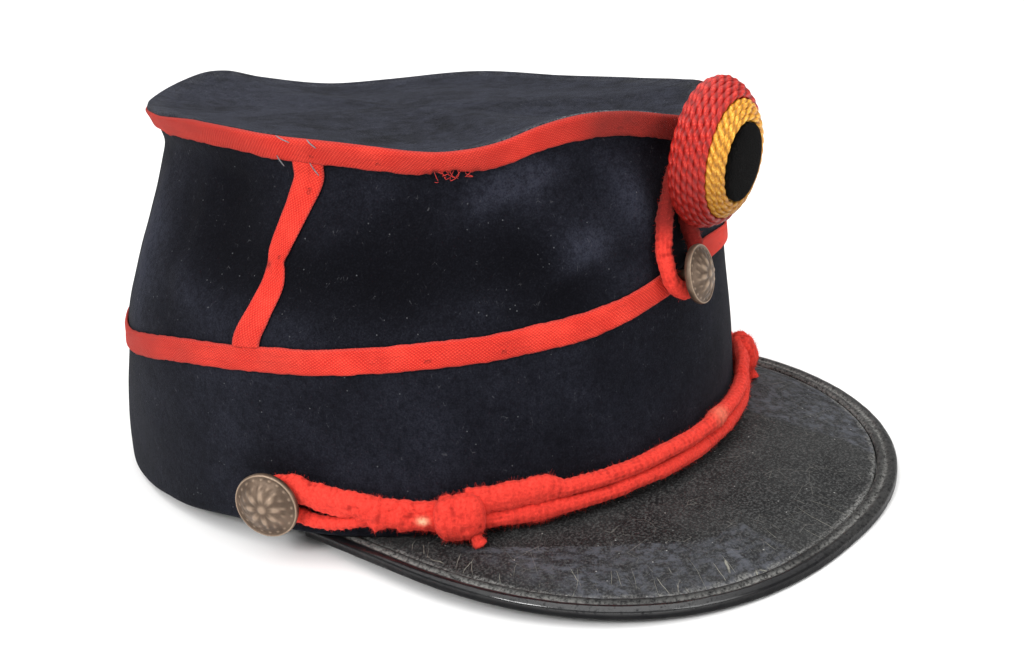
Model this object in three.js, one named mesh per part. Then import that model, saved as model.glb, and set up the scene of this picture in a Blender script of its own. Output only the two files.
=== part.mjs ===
// A soldier's kepi: a wool cap with a leather peak, red tapes, a chin cord and an oval cockade.
// Millimetres, +Z up. The wearer looks along -Y and the wearer's right side is -X.
// Angles round the head start at the front and grow towards the wearer's right.
import * as THREE from 'three';

// Driving sizes
const RING_SIDES = 60;
const WOOL_THICKNESS = 2.4;
const TOP_THICKNESS = 2.2;
const GAP = 0.3;
// Ovals round the head: half the width, the reach to the front and back, the middle's place,
// and how full the back is (2 is a true oval, less is slimmer towards the back)
const BAND_FOOT_OVAL = { halfWidth: 87.5, front: 95, back: 99, centreY: 0, fullness: 2 };
const BAND_TOP_OVAL = { halfWidth: 87, front: 94, back: 83, centreY: 0, fullness: 1.84 };
const CROWN_EDGE_OVAL = { halfWidth: 70, front: 86, back: 83, centreY: -5, fullness: 1.84 };
// How fast the band's oval and the top's height change on the way, as powers of the share
const BAND_BELLY = 1.4;
const TOP_SLOPE = 1.5;
const TOP_ROUND = 4;
// Where the wool walls and the top have their rings of points, outside and inside
const BAND_SHARES = { outer: [0, 0.3, 0.65, 1], inner: [1, 0.5, 0] };
const CROWN_INNER_RISES = [1, 0.86, 0.68, 0.48, 0.28, 0.08, 0];
const TOP_SHARES = { upper: [0.14, 0.38, 0.6, 0.78, 0.91, 1], under: [0.985, 0.8, 0.4] };
const CROWN_DISH = 4;
const CROWN_SEAT = 1.8;
// The crown's edge is pulled forward behind the cockade: where, how widely and how far
const NOSE = { angle: -20, width: 24, reach: 7 };
const TAPE = { width: 7, thickness: 1.1, overhang: 3, bevel: 2, outerLip: 0.8, innerLip: 0.4 };
const SIDE_TAPE_LIFT = 0.8;
const PEAK = {
  halfWidth: 78, cornerY: -42, shoulderY: -60, reach: 83.75, roundness: 2.32, straight: 0.88,
  cornerAngle: 62, thickness: 2, tuck: 1.92, arch: 1.6, archReach: 50, edgeDrop: 2, tipDroop: 7,
  droopPower: 1.5, sections: 40, steps: 5,
};
const BINDING = { width: 5.3, crest: 0.6, cornerY: -33 };
const CORD = { radius: 2.1, upperHeight: 8.1, lowerHeight: 3.6, stand: 2.6, knotAngle: 42, steps: 26 };
const CORD_END = { radius: 1.9, spread: 2.1, stand: 2.4, open: 3, legSteps: 6, steps: 28 };
const CORD_END_BEND = [60, 30, 0, -30, -60];
const CORD_SIDES = 8;
const KNOT = { halfAngle: 3, halfHeight: 5.1, halfDepth: 4.2, height: 6.2, taper: 0.45, sides: 12 };
const KNOT_CLEAR = 0.2;
const KNOT_PLACES = [-1, -0.7, -0.25, 0.25, 0.7, 1];
const BUTTON = { shank: 1.6, crown: 2.8, sides: 16 };
const SIDE_BUTTON = { radius: 8.5, angle: 70, height: 11.3, facing: 66, stand: 7 };
const FRONT_BUTTON = { radius: 8.2, x: 1.7, y: -102.7, height: 53, facing: -13, stand: 6.8 };
const COCKADE = {
  halfWidth: 14.2, halfHeight: 19.4, x: 8.5, y: -103, height: 82, pitch: 11.4, back: 4, sides: 24,
};
const POST = { radius: 1.3, height: 81.4, angle: -8, rise: 0.9, clear: 0.8, sides: 10 };
const LOOP = { radius: 2, steps: 24 };

// The cap rests on the tip of the peak's binding and on the back of the band's lower edge.
const REST_DROP = 10.4;
const REST_SLOPE = REST_DROP / (PEAK.reach - PEAK.shoulderY + BAND_FOOT_OVAL.back);
const REST_TILT = Math.atan(REST_SLOPE);
const REST_ANGLE = 122;

// Lower edge of the band, on either side, as far as the stretch that lies on the surface
const BAND_FOOT = [
  { angle: 0, height: 0 },
  { angle: 58, height: 0 },
  { angle: 80, height: 1.3 },
  { angle: 97, height: -0.6 },
  { angle: 108, height: -1.7 },
  { angle: REST_ANGLE, height: null },
];

// Height of the seam between band and crown all round: pulled up at the front, lower at the back
const SEAM = [
  { angle: -180, height: 40 },
  { angle: -148, height: 40.5 },
  { angle: -115, height: 41.5 },
  { angle: -92, height: 45.4 },
  { angle: -78, height: 46.6 },
  { angle: -50, height: 47.6 },
  { angle: -32, height: 50 },
  { angle: -20, height: 52.5 },
  { angle: -10, height: 53 },
  { angle: 0, height: 50.4 },
  { angle: 6, height: 49.1 },
  { angle: 12, height: 47.7 },
  { angle: 20, height: 46.4 },
  { angle: 40, height: 46.5 },
  { angle: 78, height: 46.6 },
  { angle: 92, height: 45.4 },
  { angle: 115, height: 41.5 },
  { angle: 148, height: 40.5 },
];

// Height of the crown's edge all round: high on the wearer's right, sagged on the left
const CROWN_RIM = [
  { angle: -170, height: 95.3 },
  { angle: -152, height: 89.8 },
  { angle: -137, height: 88.8 },
  { angle: -115, height: 89.3 },
  { angle: -91, height: 87.5 },
  { angle: -66, height: 88.7 },
  { angle: -46, height: 91.1 },
  { angle: -36, height: 92.3 },
  { angle: -25, height: 90.8 },
  { angle: -10, height: 90 },
  { angle: -4, height: 91.7 },
  { angle: 2, height: 93.7 },
  { angle: 8, height: 95.4 },
  { angle: 16, height: 96.4 },
  { angle: 24, height: 95.6 },
  { angle: 33, height: 92.9 },
  { angle: 42, height: 92 },
  { angle: 50, height: 93 },
  { angle: 67, height: 96.8 },
  { angle: 89, height: 100.7 },
  { angle: 112, height: 101.9 },
  { angle: 140, height: 100.2 },
  { angle: 168, height: 100.7 },
  { angle: 180, height: 99 },
];

// Sections of the crown's side from the band seam (rise 0) to the crown's edge (rise 1):
// lean is how far the wall has moved from the band's oval to the one under the edge tape,
// and flare is how far it turns out again behind that tape
const CROWN_SECTIONS = [
  { rise: 0.0, lean: 0.0, flare: 0 },
  { rise: 0.08, lean: 0.03, flare: 0 },
  { rise: 0.18, lean: 0.12, flare: 0 },
  { rise: 0.28, lean: 0.24, flare: 0 },
  { rise: 0.38, lean: 0.38, flare: 0 },
  { rise: 0.48, lean: 0.53, flare: 0 },
  { rise: 0.58, lean: 0.67, flare: 0 },
  { rise: 0.68, lean: 0.8, flare: 0 },
  { rise: 0.77, lean: 0.91, flare: 0 },
  { rise: 0.86, lean: 1.0, flare: 0 },
  { rise: 0.93, lean: 1.0, flare: 0.6 },
  { rise: 1.0, lean: 1.0, flare: 1.6 },
];

// Folds and dents of the crown's side: where the middle is, which way it runs (0 is level,
// 90 is upright), how long and wide it is, and how far it stands out or sinks in
const FOLDS = [
  { angle: 17, height: 62, run: 35, length: 17, width: 7, depth: 2.2 },
  { angle: 17, height: 53, run: -35, length: 15, width: 5, depth: -2 },
  { angle: 5, height: 74, run: 75, length: 12, width: 6, depth: 1.8 },
  { angle: 32, height: 85, run: -10, length: 16, width: 5, depth: 1.6 },
  { angle: 45, height: 66, run: 20, length: 26, width: 12, depth: -2.6 },
  { angle: 70, height: 65, run: 8, length: 26, width: 6, depth: -2.4 },
  { angle: 84, height: 79, run: 60, length: 18, width: 12, depth: -3 },
  { angle: 110, height: 70, run: 70, length: 18, width: 9, depth: 1.6 },
  { angle: 150, height: 64, run: 10, length: 30, width: 8, depth: -2.2 },
  { angle: -30, height: 62, run: -30, length: 20, width: 7, depth: 2 },
  { angle: -62, height: 66, run: 5, length: 34, width: 6, depth: -2.6 },
  { angle: -88, height: 58, run: 4, length: 36, width: 7, depth: 2.4 },
  { angle: -130, height: 66, run: -12, length: 32, width: 7, depth: -2.4 },
];

// The folds fade out over the lowest and highest shares of the wall
const FOLD_FADE = { foot: 0.143, head: 0.88, over: 0.111 };

// A side tape from the band's tape to the crown's edge, pinched where the wall creases
const SIDE_TAPE = [
  { rise: 0.11, angle: 72.0, width: 7.6 },
  { rise: 0.18, angle: 71.4, width: 7.6 },
  { rise: 0.26, angle: 70.8, width: 7.4 },
  { rise: 0.34, angle: 70.6, width: 6.6 },
  { rise: 0.4, angle: 70.9, width: 5.8 },
  { rise: 0.46, angle: 71.1, width: 5.8 },
  { rise: 0.54, angle: 70.8, width: 6.8 },
  { rise: 0.64, angle: 70.0, width: 7.6 },
  { rise: 0.76, angle: 69.0, width: 8 },
  { rise: 0.86, angle: 68.2, width: 8 },
];

// Outline of the peak's binding: in from the peak's edge, and up from the edge's middle
const BINDING_PROFILE = [
  { inset: BINDING.width, up: 0.7 },
  { inset: 4.2, up: 1.6 },
  { inset: 3.1, up: 1.0 },
  { inset: 1.7, up: 1.7 },
  { inset: 0.3, up: 0.9 },
  { inset: 0.3, up: -0.9 },
  { inset: 1.7, up: -1.7 },
  { inset: 3.1, up: -1.7 },
  { inset: 4.2, up: -1.6 },
  { inset: BINDING.width, up: -1.3 },
];

// Button half-section: share of the radius, and height above the rim's plane
const BUTTON_PROFILE = [
  { share: 0.7, up: -1.6 },
  { share: 0.97, up: -0.9 },
  { share: 1.0, up: 0.0 },
  { share: 0.95, up: 0.7 },
  { share: 0.86, up: 0.5 },
  { share: 0.62, up: 1.7 },
  { share: 0.32, up: 2.5 },
];

// Cockade half-sections: share of the oval, and distance forward of the oval's plane
const COCKADE_RED = [
  { share: 0.0, forward: -COCKADE.back },
  { share: 0.6, forward: -COCKADE.back },
  { share: 0.9, forward: -2.4 },
  { share: 1.0, forward: 0 },
  { share: 0.96, forward: 2.4 },
  { share: 0.88, forward: 4.4 },
  { share: 0.79, forward: 6 },
  { share: 0.79, forward: 4 },
  { share: 0.0, forward: 4 },
];
const COCKADE_YELLOW = [
  { share: 0.53, forward: 4 + GAP },
  { share: 0.765, forward: 4 + GAP },
  { share: 0.765, forward: 6.4 },
  { share: 0.69, forward: 8 },
  { share: 0.6, forward: 8.9 },
  { share: 0.53, forward: 9 },
  { share: 0.53, forward: 4 + GAP },
];
const COCKADE_BLACK = [
  { share: 0.0, forward: 4 + GAP },
  { share: 0.5, forward: 4 + GAP },
  { share: 0.5, forward: 8.8 },
  { share: 0.34, forward: 9.8 },
  { share: 0.0, forward: 10.2 },
];

// Route of the wool loop from behind the cockade, under the front button and up again
const LOOP_ROUTE = [
  { x: 6.4, y: -94, z: 78.2 },
  { x: 4.2, y: -94.1, z: 75.4 },
  { x: 2.2, y: -94.4, z: 72 },
  { x: -1, y: -95.2, z: 68.4 },
  { x: -2.9, y: -96, z: 62.8 },
  { x: -3.6, y: -97, z: 57.4 },
  { x: -3.3, y: -98.1, z: 52.4 },
  { x: 0.4, y: -98.5, z: 48.4 },
  { x: 4, y: -98.1, z: 49 },
  { x: 6.9, y: -97.6, z: 53.2 },
  { x: 8.4, y: -96.7, z: 58 },
  { x: 8.4, y: -95, z: 63 },
  { x: 9.6, y: -94.3, z: 71 },
  { x: 10.8, y: -94, z: 76.6 },
];

const COLOURS = { wool: 0x0c1226, tape: 0xc4281c, leather: 0x15161a, cord: 0xc0201c, metal: 0x5d4a3a };

const radians = THREE.MathUtils.degToRad;
const clamp01 = (value) => THREE.MathUtils.clamp(value, 0, 1);
const mix = THREE.MathUtils.lerp;
const smooth = (value) => THREE.MathUtils.smoothstep(value, 0, 1);

function material(colour, roughness, metalness = 0) {
  return new THREE.MeshStandardMaterial({ color: colour, roughness, metalness });
}

const WOOL = material(COLOURS.wool, 0.95);
const TAPE_CLOTH = material(COLOURS.tape, 0.85);
const LEATHER = material(COLOURS.leather, 0.45);
const CORD_WOOL = material(COLOURS.cord, 0.95);
const BRONZE = material(COLOURS.metal, 0.5, 0.9);

// A point on an oval round the head, moved out by a lift
function onOval(oval, angle, height, lift = 0) {
  const turn = radians(angle);
  const [sine, cosine] = [Math.sin(turn), Math.cos(turn)];
  const forward = cosine > 0;
  const power = forward ? 1 : 2 / oval.fullness;
  const reach = (forward ? oval.front : oval.back) + lift;
  const x = -(oval.halfWidth + lift) * Math.sign(sine) * Math.abs(sine) ** power;
  const y = oval.centreY - reach * Math.sign(cosine) * Math.abs(cosine) ** power;
  return new THREE.Vector3(x, y, height);
}

// An oval part of the way from one oval to another
function ovalBetween(from, to, share) {
  return Object.fromEntries(Object.keys(from).map((key) => [key, mix(from[key], to[key], share)]));
}

// An oval grown by a margin all round, or shrunk by a negative one
function grownOval(oval, margin) {
  return {
    ...oval,
    halfWidth: oval.halfWidth + margin,
    front: oval.front + margin,
    back: oval.back + margin,
  };
}

// Height at any angle from a table of angles and heights that goes once round the head
function heightAround(table, angle) {
  const turn = THREE.MathUtils.euclideanModulo(angle - table[0].angle, 360) + table[0].angle;
  const count = table.length;
  const row = (index) => {
    const lap = Math.floor(index / count);
    const entry = table[index - lap * count];
    return { angle: entry.angle + 360 * lap, height: entry.height };
  };
  let index = 0;
  while (row(index + 1).angle <= turn) index += 1;
  const [before, start, end, after] = [-1, 0, 1, 2].map((step) => row(index + step));
  const span = end.angle - start.angle;
  const t = (turn - start.angle) / span;
  const startSlope = (span * (end.height - before.height)) / (end.angle - before.angle);
  const endSlope = (span * (after.height - start.height)) / (after.angle - start.angle);
  const rising = t * t * (3 - 2 * t);
  return mix(start.height, end.height, rising) + startSlope * t * (1 - t) ** 2 - endSlope * t * t * (1 - t);
}

// Height at any angle from a table that goes from the front to the back on either side
function heightBeside(table, angle) {
  const side = Math.min(Math.abs(angle), table.at(-1).angle);
  const next = Math.max(1, table.findIndex((row) => row.angle >= side));
  const [start, end] = [table[next - 1], table[next]];
  return mix(start.height, end.height, smooth((side - start.angle) / (end.angle - start.angle)));
}

// Height of the surface that the cap rests on, before the cap is tipped level with it
function restHeight(y) {
  return REST_SLOPE * (y - BAND_FOOT_OVAL.back);
}

// How far the crown's edge is pulled forward at an angle
function noseReach(angle) {
  const turn = THREE.MathUtils.euclideanModulo(angle - NOSE.angle + 180, 360) - 180;
  return NOSE.reach * Math.exp(-((turn / NOSE.width) ** 2));
}

// Joins rings of points into one closed solid. The ends meet ('ring'), or are closed by a strip
// across each end section ('strip'), or run to a middle point ('fan').
function solidFromSections(sections, ends) {
  const size = sections[0].length;
  const points = sections.flat();
  const faces = [];
  const at = (section, place) => (section % sections.length) * size + (place % size);
  const last = sections.length - 1;
  for (let section = 0; section < (ends === 'ring' ? sections.length : last); section += 1) {
    for (let place = 0; place < size; place += 1) {
      const [a, b] = [at(section, place), at(section, place + 1)];
      const [c, d] = [at(section + 1, place + 1), at(section + 1, place)];
      faces.push([a, b, c], [a, c, d]);
    }
  }
  const cap = (section, flip) => {
    const found = [];
    if (ends === 'strip') {
      for (let place = 0; place < size / 2 - 1; place += 1) {
        const [a, b] = [at(section, place), at(section, place + 1)];
        const [c, d] = [at(section, size - 2 - place), at(section, size - 1 - place)];
        found.push([a, c, b], [a, d, c]);
      }
    } else {
      const middle = new THREE.Vector3();
      sections[section].forEach((point) => middle.addScaledVector(point, 1 / size));
      points.push(middle);
      for (let place = 0; place < size; place += 1) {
        found.push([points.length - 1, at(section, place + 1), at(section, place)]);
      }
    }
    faces.push(...(flip ? found.map(([a, b, c]) => [a, c, b]) : found));
  };
  if (ends !== 'ring') {
    cap(0, false);
    cap(last, true);
  }
  const volume = faces.reduce((sum, [a, b, c]) => {
    const across = new THREE.Vector3().crossVectors(points[b], points[c]);
    return sum + points[a].dot(across);
  }, 0);
  const outward = volume > 0 ? faces : faces.map(([a, b, c]) => [a, c, b]);
  const geometry = new THREE.BufferGeometry().setFromPoints(points);
  geometry.setIndex(outward.flat());
  geometry.computeVertexNormals();
  return geometry;
}

// One section for each step of a full turn round the head
function sectionsRound(makeSection) {
  return Array.from({ length: RING_SIDES }, (_, step) => makeSection((step * 360) / RING_SIDES - 180));
}

function seamHeight(angle) {
  return heightAround(SEAM, angle);
}

function rimHeight(angle) {
  return heightAround(CROWN_RIM, angle);
}

// Outer face of the band at a share of its height, moved in by an inset
function bandPoint(angle, share, inset) {
  const point = onOval(ovalBetween(BAND_FOOT_OVAL, BAND_TOP_OVAL, share ** BAND_BELLY), angle, 0, -inset);
  const rest = restHeight(onOval(BAND_FOOT_OVAL, angle, 0, -inset).y);
  const rows = BAND_FOOT.map((row) => ({ angle: row.angle, height: row.height ?? rest }));
  const foot = Math.abs(angle) >= REST_ANGLE ? rest : heightBeside(rows, angle);
  point.z = mix(foot, seamHeight(angle), share);
  return point;
}

function band() {
  return solidFromSections(sectionsRound((angle) => [
    ...BAND_SHARES.outer.map((share) => bandPoint(angle, share, 0)),
    ...BAND_SHARES.inner.map((share) => bandPoint(angle, share, WOOL_THICKNESS)),
  ]), 'ring');
}

// How far the folds move the crown's side outwards at a place on it
function foldDepth(angle, height) {
  const arc = radians((BAND_TOP_OVAL.halfWidth + CROWN_EDGE_OVAL.front) / 2);
  return FOLDS.reduce((sum, fold) => {
    const turn = THREE.MathUtils.euclideanModulo(angle - fold.angle + 180, 360) - 180;
    const [sideways, up] = [turn * arc, height - fold.height];
    const [cosine, sine] = [Math.cos(radians(fold.run)), Math.sin(radians(fold.run))];
    const along = (sideways * cosine + up * sine) / fold.length;
    const across = (up * cosine - sideways * sine) / fold.width;
    return sum + fold.depth * Math.exp(-along * along - across * across);
  }, 0);
}

// Outer face of the crown's side at a rise from the band seam to the edge, moved out by a lift
function crownPoint(angle, rise, lift) {
  const next = Math.max(1, CROWN_SECTIONS.findIndex((row) => row.rise >= rise - 1e-9));
  const [start, end] = [CROWN_SECTIONS[next - 1], CROWN_SECTIONS[next]];
  const between = (rise - start.rise) / (end.rise - start.rise);
  const lean = mix(start.lean, end.lean, between);
  const out = mix(start.flare, end.flare, between) + lift;
  const foot = seamHeight(angle) + GAP;
  const head = rimHeight(angle) - TOP_THICKNESS - CROWN_SEAT;
  const height = mix(foot, head, rise);
  const under = grownOval(CROWN_EDGE_OVAL, -TAPE.thickness - GAP - TAPE.overhang);
  const fade = smooth(rise / FOLD_FADE.foot) * smooth((FOLD_FADE.head - rise) / FOLD_FADE.over);
  const fold = foldDepth(angle, height) * fade;
  const pull = noseReach(angle) * lean;
  return onOval(ovalBetween(BAND_TOP_OVAL, under, lean), angle, height, fold + out + pull);
}

function crownSide() {
  const rises = CROWN_SECTIONS.map((row) => row.rise);
  return solidFromSections(sectionsRound((angle) => [
    ...rises.map((rise) => crownPoint(angle, rise, 0)),
    ...CROWN_INNER_RISES.map((rise) => crownPoint(angle, rise, -WOOL_THICKNESS)),
  ]), 'ring');
}

// Upper face of the crown's top at a share of the way from its middle to its edge
function topPoint(angle, share, drop) {
  const rim = grownOval(CROWN_EDGE_OVAL, -TAPE.thickness - GAP);
  const oval = {
    ...rim,
    halfWidth: rim.halfWidth * share,
    front: rim.front * share,
    back: rim.back * share,
  };
  const across = [0, 90, 180, -90].map(rimHeight);
  const middle = across.reduce((sum, height) => sum + height / across.length, 0);
  const edge = rimHeight(angle);
  const height = mix(middle, edge, share ** TOP_SLOPE) - CROWN_DISH * (1 - share ** TOP_ROUND) - GAP;
  return onOval(oval, angle, height - drop, noseReach(angle) * share * share);
}

function crownTop() {
  const ring = (share, drop) => sectionsRound((angle) => topPoint(angle, share, drop));
  return solidFromSections([
    ...TOP_SHARES.upper.map((share) => ring(share, 0)),
    ...TOP_SHARES.under.map((share) => ring(share, TOP_THICKNESS)),
  ], 'fan');
}

// The tape round the seam lies half on the band and half on the crown's side
function bandTape() {
  return solidFromSections(sectionsRound((angle) => {
    const seam = seamHeight(angle);
    const onBand = 1 - TAPE.width / 2 / seam;
    const onCrown = TAPE.width / 2 / (rimHeight(angle) - seam);
    const face = (lift) => [
      bandPoint(angle, onBand, -lift),
      bandPoint(angle, 1, -lift),
      crownPoint(angle, onCrown, lift),
    ];
    return [...face(2 * GAP + TAPE.thickness), ...face(2 * GAP).toReversed()];
  }), 'ring');
}

function crownTape() {
  const edge = (angle, drop, inset) => {
    return onOval(CROWN_EDGE_OVAL, angle, rimHeight(angle) - drop, noseReach(angle) - inset);
  };
  return solidFromSections(sectionsRound((angle) => [
    edge(angle, TAPE.width, TAPE.bevel),
    edge(angle, TAPE.outerLip, 0),
    edge(angle, 0, TAPE.thickness / 2),
    edge(angle, TAPE.innerLip, TAPE.thickness),
    edge(angle, TAPE.width, TAPE.bevel + TAPE.thickness),
  ]), 'ring');
}

// A tape up one side of the crown, lying on the wall's folds
function sideTape(side) {
  const degree = radians(BAND_TOP_OVAL.halfWidth);
  return solidFromSections(SIDE_TAPE.map(({ rise, angle, width }) => {
    const [start, end] = [side * angle - width / 2 / degree, side * angle + width / 2 / degree];
    const outer = SIDE_TAPE_LIFT + TAPE.thickness;
    return [
      crownPoint(start, rise, outer),
      crownPoint(end, rise, outer),
      crownPoint(end, rise, SIDE_TAPE_LIFT),
      crownPoint(start, rise, SIDE_TAPE_LIFT),
    ];
  }), 'strip');
}

// Edge of the peak seen from above, from the wearer's right corner (-1) to the left one (1)
function peakEdge(place, inset, cornerY) {
  const side = Math.sign(place) || 1;
  const fromTip = Math.abs(place);
  const halfWidth = PEAK.halfWidth - inset;
  if (fromTip > PEAK.straight) {
    const back = mix(PEAK.shoulderY, cornerY, (fromTip - PEAK.straight) / (1 - PEAK.straight));
    return new THREE.Vector2(side * halfWidth, back);
  }
  const turn = (Math.PI / 2) * (1 - fromTip / PEAK.straight);
  const power = 2 / PEAK.roundness;
  const x = side * halfWidth * Math.cos(turn) ** power;
  return new THREE.Vector2(x, PEAK.shoulderY - (PEAK.reach - inset) * Math.sin(turn) ** power);
}

// Height of the middle of the peak's edge: it droops towards the tip
function peakEdgeHeight(y) {
  const forward = Math.max(0, PEAK.shoulderY - y) / PEAK.reach;
  return -PEAK.edgeDrop - PEAK.tipDroop * forward ** PEAK.droopPower;
}

const peakPlaces = Array.from({ length: PEAK.sections + 1 }, (_, step) => mix(-1, 1, step / PEAK.sections));

function peak() {
  const shares = Array.from({ length: PEAK.steps + 1 }, (_, step) => step / PEAK.steps);
  const point = (place, share, drop) => {
    const angle = -place * PEAK.cornerAngle;
    const inner = onOval(BAND_FOOT_OVAL, angle, -GAP, -PEAK.tuck);
    const edge = peakEdge(place, BINDING.width + GAP, PEAK.cornerY);
    const outer = new THREE.Vector3(edge.x, edge.y, peakEdgeHeight(edge.y) + BINDING.crest);
    const reach = clamp01(inner.distanceTo(outer) / PEAK.archReach);
    const found = inner.lerp(outer, share);
    found.z += PEAK.arch * reach * Math.sin(Math.PI * share) * share - drop;
    return found;
  };
  return solidFromSections(peakPlaces.map((place) => [
    ...shares.map((share) => point(place, share, 0)),
    ...shares.toReversed().map((share) => point(place, share, PEAK.thickness)),
  ]), 'strip');
}

function peakBinding() {
  return solidFromSections(peakPlaces.map((place) => BINDING_PROFILE.map(({ inset, up }) => {
    const edge = peakEdge(place, inset, BINDING.cornerY);
    const height = peakEdgeHeight(edge.y) + up;
    return new THREE.Vector3(edge.x, edge.y, Math.max(height, restHeight(edge.y)));
  })), 'strip');
}

// A round cord along a smooth curve through its points
function cordAlong(points, radius, steps) {
  const section = new THREE.Shape(Array.from({ length: CORD_SIDES }, (_, side) => {
    const turn = (side * 2 * Math.PI) / CORD_SIDES;
    return new THREE.Vector2(radius * Math.cos(turn), radius * Math.sin(turn));
  }));
  const route = new THREE.CatmullRomCurve3(points);
  return new THREE.ExtrudeGeometry(section, { steps, extrudePath: route, bevelEnabled: false });
}

// A point beside the band at a height, standing off its face
function besideBand(angle, height, stand) {
  return onOval(BAND_FOOT_OVAL, angle, height, stand);
}

function chinStrand(height) {
  const reach = CORD.knotAngle - KNOT.halfAngle - KNOT_CLEAR;
  const points = Array.from({ length: CORD.steps + 1 }, (_, step) => {
    return besideBand(mix(reach, -reach, step / CORD.steps), height, CORD.stand);
  });
  return cordAlong(points, CORD.radius, CORD.steps);
}

// Middle of the cord's looped end as it climbs from the knot to the button
function endHeight(angle) {
  const climb = (angle - CORD.knotAngle) / (SIDE_BUTTON.angle - CORD.knotAngle);
  return mix(KNOT.height, SIDE_BUTTON.height, smooth(climb));
}

// The looped end: out along its upper leg, round the button's shank and back along the lower leg
function chinEnd(side) {
  const start = CORD.knotAngle + KNOT.halfAngle + KNOT_CLEAR;
  const open = SIDE_BUTTON.angle - CORD_END.open;
  const turnRadius = BUTTON.shank + GAP + CORD_END.radius + KNOT_CLEAR;
  const leg = (sign) => Array.from({ length: CORD_END.legSteps + 1 }, (_, step) => {
    const share = step / CORD_END.legSteps;
    const angle = mix(start, open, share);
    const spread = mix(CORD_END.spread, turnRadius, smooth(share * 2 - 1));
    return besideBand(side * angle, endHeight(angle) + sign * spread, CORD_END.stand);
  });
  const bend = CORD_END_BEND.map((degrees) => {
    const turn = radians(degrees);
    const past = turnRadius * Math.cos(turn) / radians(BAND_FOOT_OVAL.halfWidth);
    const height = SIDE_BUTTON.height + turnRadius * Math.sin(turn);
    return besideBand(side * (SIDE_BUTTON.angle + past), height, CORD_END.stand);
  });
  return cordAlong([...leg(1), ...bend, ...leg(-1).toReversed()], CORD_END.radius, CORD_END.steps);
}

// The knot that gathers the strands: a barrel along the band
function chinKnot(side) {
  return solidFromSections(KNOT_PLACES.map((place) => {
    const angle = side * (CORD.knotAngle + place * KNOT.halfAngle);
    const swell = Math.sqrt(1 - KNOT.taper * place * place);
    return Array.from({ length: KNOT.sides }, (_, step) => {
      const turn = (step * 2 * Math.PI) / KNOT.sides;
      const stand = KNOT.halfDepth + GAP + swell * KNOT.halfDepth * Math.cos(turn);
      return besideBand(angle, KNOT.height + swell * KNOT.halfHeight * Math.sin(turn), stand);
    });
  }), 'fan');
}

// A domed button with its shank, its rim's plane at the origin and facing +Y
function button(radius, shankLength) {
  const profile = [
    new THREE.Vector2(0, -shankLength),
    new THREE.Vector2(BUTTON.shank, -shankLength),
    new THREE.Vector2(BUTTON.shank, BUTTON_PROFILE[0].up),
    ...BUTTON_PROFILE.map(({ share, up }) => new THREE.Vector2(share * radius, up)),
    new THREE.Vector2(0, BUTTON.crown),
  ];
  return new THREE.LatheGeometry(profile, BUTTON.sides);
}

// An oval solid of revolution about +Y
function ovalLathe(rows) {
  const profile = rows.map(({ share, forward }) => new THREE.Vector2(share, forward));
  const geometry = new THREE.LatheGeometry(profile, COCKADE.sides);
  return geometry.scale(COCKADE.halfWidth, 1, COCKADE.halfHeight);
}

const cap = new THREE.Group();
const add = (name, geometry, finish, parent = cap) => {
  const mesh = new THREE.Mesh(geometry, finish);
  mesh.name = name;
  parent.add(mesh);
  return mesh;
};

add('band', band(), WOOL);
add('crown_side', crownSide(), WOOL);
add('crown_top', crownTop(), WOOL);
add('tape_band', bandTape(), TAPE_CLOTH);
add('tape_crown_edge', crownTape(), TAPE_CLOTH);
add('peak', peak(), LEATHER);
add('peak_binding', peakBinding(), LEATHER);
add('chin_cord_upper', chinStrand(CORD.upperHeight), CORD_WOOL);
add('chin_cord_lower', chinStrand(CORD.lowerHeight), CORD_WOOL);

// Turns a button to face out level from the head at an angle
function faceOut(mesh, angle) {
  const out = new THREE.Vector3(-Math.sin(radians(angle)), -Math.cos(radians(angle)), 0);
  mesh.quaternion.setFromUnitVectors(new THREE.Vector3(0, 1, 0), out);
}

for (const [name, side] of [['right', 1], ['left', -1]]) {
  add(`tape_side_${name}`, sideTape(side), TAPE_CLOTH);
  add(`chin_cord_knot_${name}`, chinKnot(side), CORD_WOOL);
  add(`chin_cord_end_${name}`, chinEnd(side), CORD_WOOL);
  const shank = SIDE_BUTTON.stand - GAP;
  const sideButton = add(`button_${name}`, button(SIDE_BUTTON.radius, shank), BRONZE);
  sideButton.position.copy(besideBand(side * SIDE_BUTTON.angle, SIDE_BUTTON.height, SIDE_BUTTON.stand));
  faceOut(sideButton, side * SIDE_BUTTON.facing);
}

const frontButton = add('button_front', button(FRONT_BUTTON.radius, FRONT_BUTTON.stand - GAP), BRONZE);
frontButton.position.set(FRONT_BUTTON.x, FRONT_BUTTON.y, FRONT_BUTTON.height);
faceOut(frontButton, FRONT_BUTTON.facing);

const loopPoints = LOOP_ROUTE.map(({ x, y, z }) => new THREE.Vector3(x, y, z));
add('cockade_loop', cordAlong(loopPoints, LOOP.radius, LOOP.steps), CORD_WOOL);

// The cockade faces forward and tips a little down
const cockade = new THREE.Group();
cockade.position.set(COCKADE.x, COCKADE.y, COCKADE.height);
cockade.rotation.x = Math.PI + radians(COCKADE.pitch);
cap.add(cockade);
add('cockade_red', ovalLathe(COCKADE_RED), material(0xb32420, 0.5), cockade);
add('cockade_yellow', ovalLathe(COCKADE_YELLOW), material(0xdf9a1c, 0.45), cockade);
add('cockade_black', ovalLathe(COCKADE_BLACK), material(0x08080a, 0.9), cockade);

const postBack = crownPoint(POST.angle, POST.rise, GAP).y;
const postFront = COCKADE.y + COCKADE.back + POST.clear;
const post = add(
  'cockade_post',
  new THREE.CylinderGeometry(POST.radius, POST.radius, postBack - postFront, POST.sides),
  BRONZE,
);
post.position.set(COCKADE.x, (postBack + postFront) / 2, POST.height);

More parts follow.
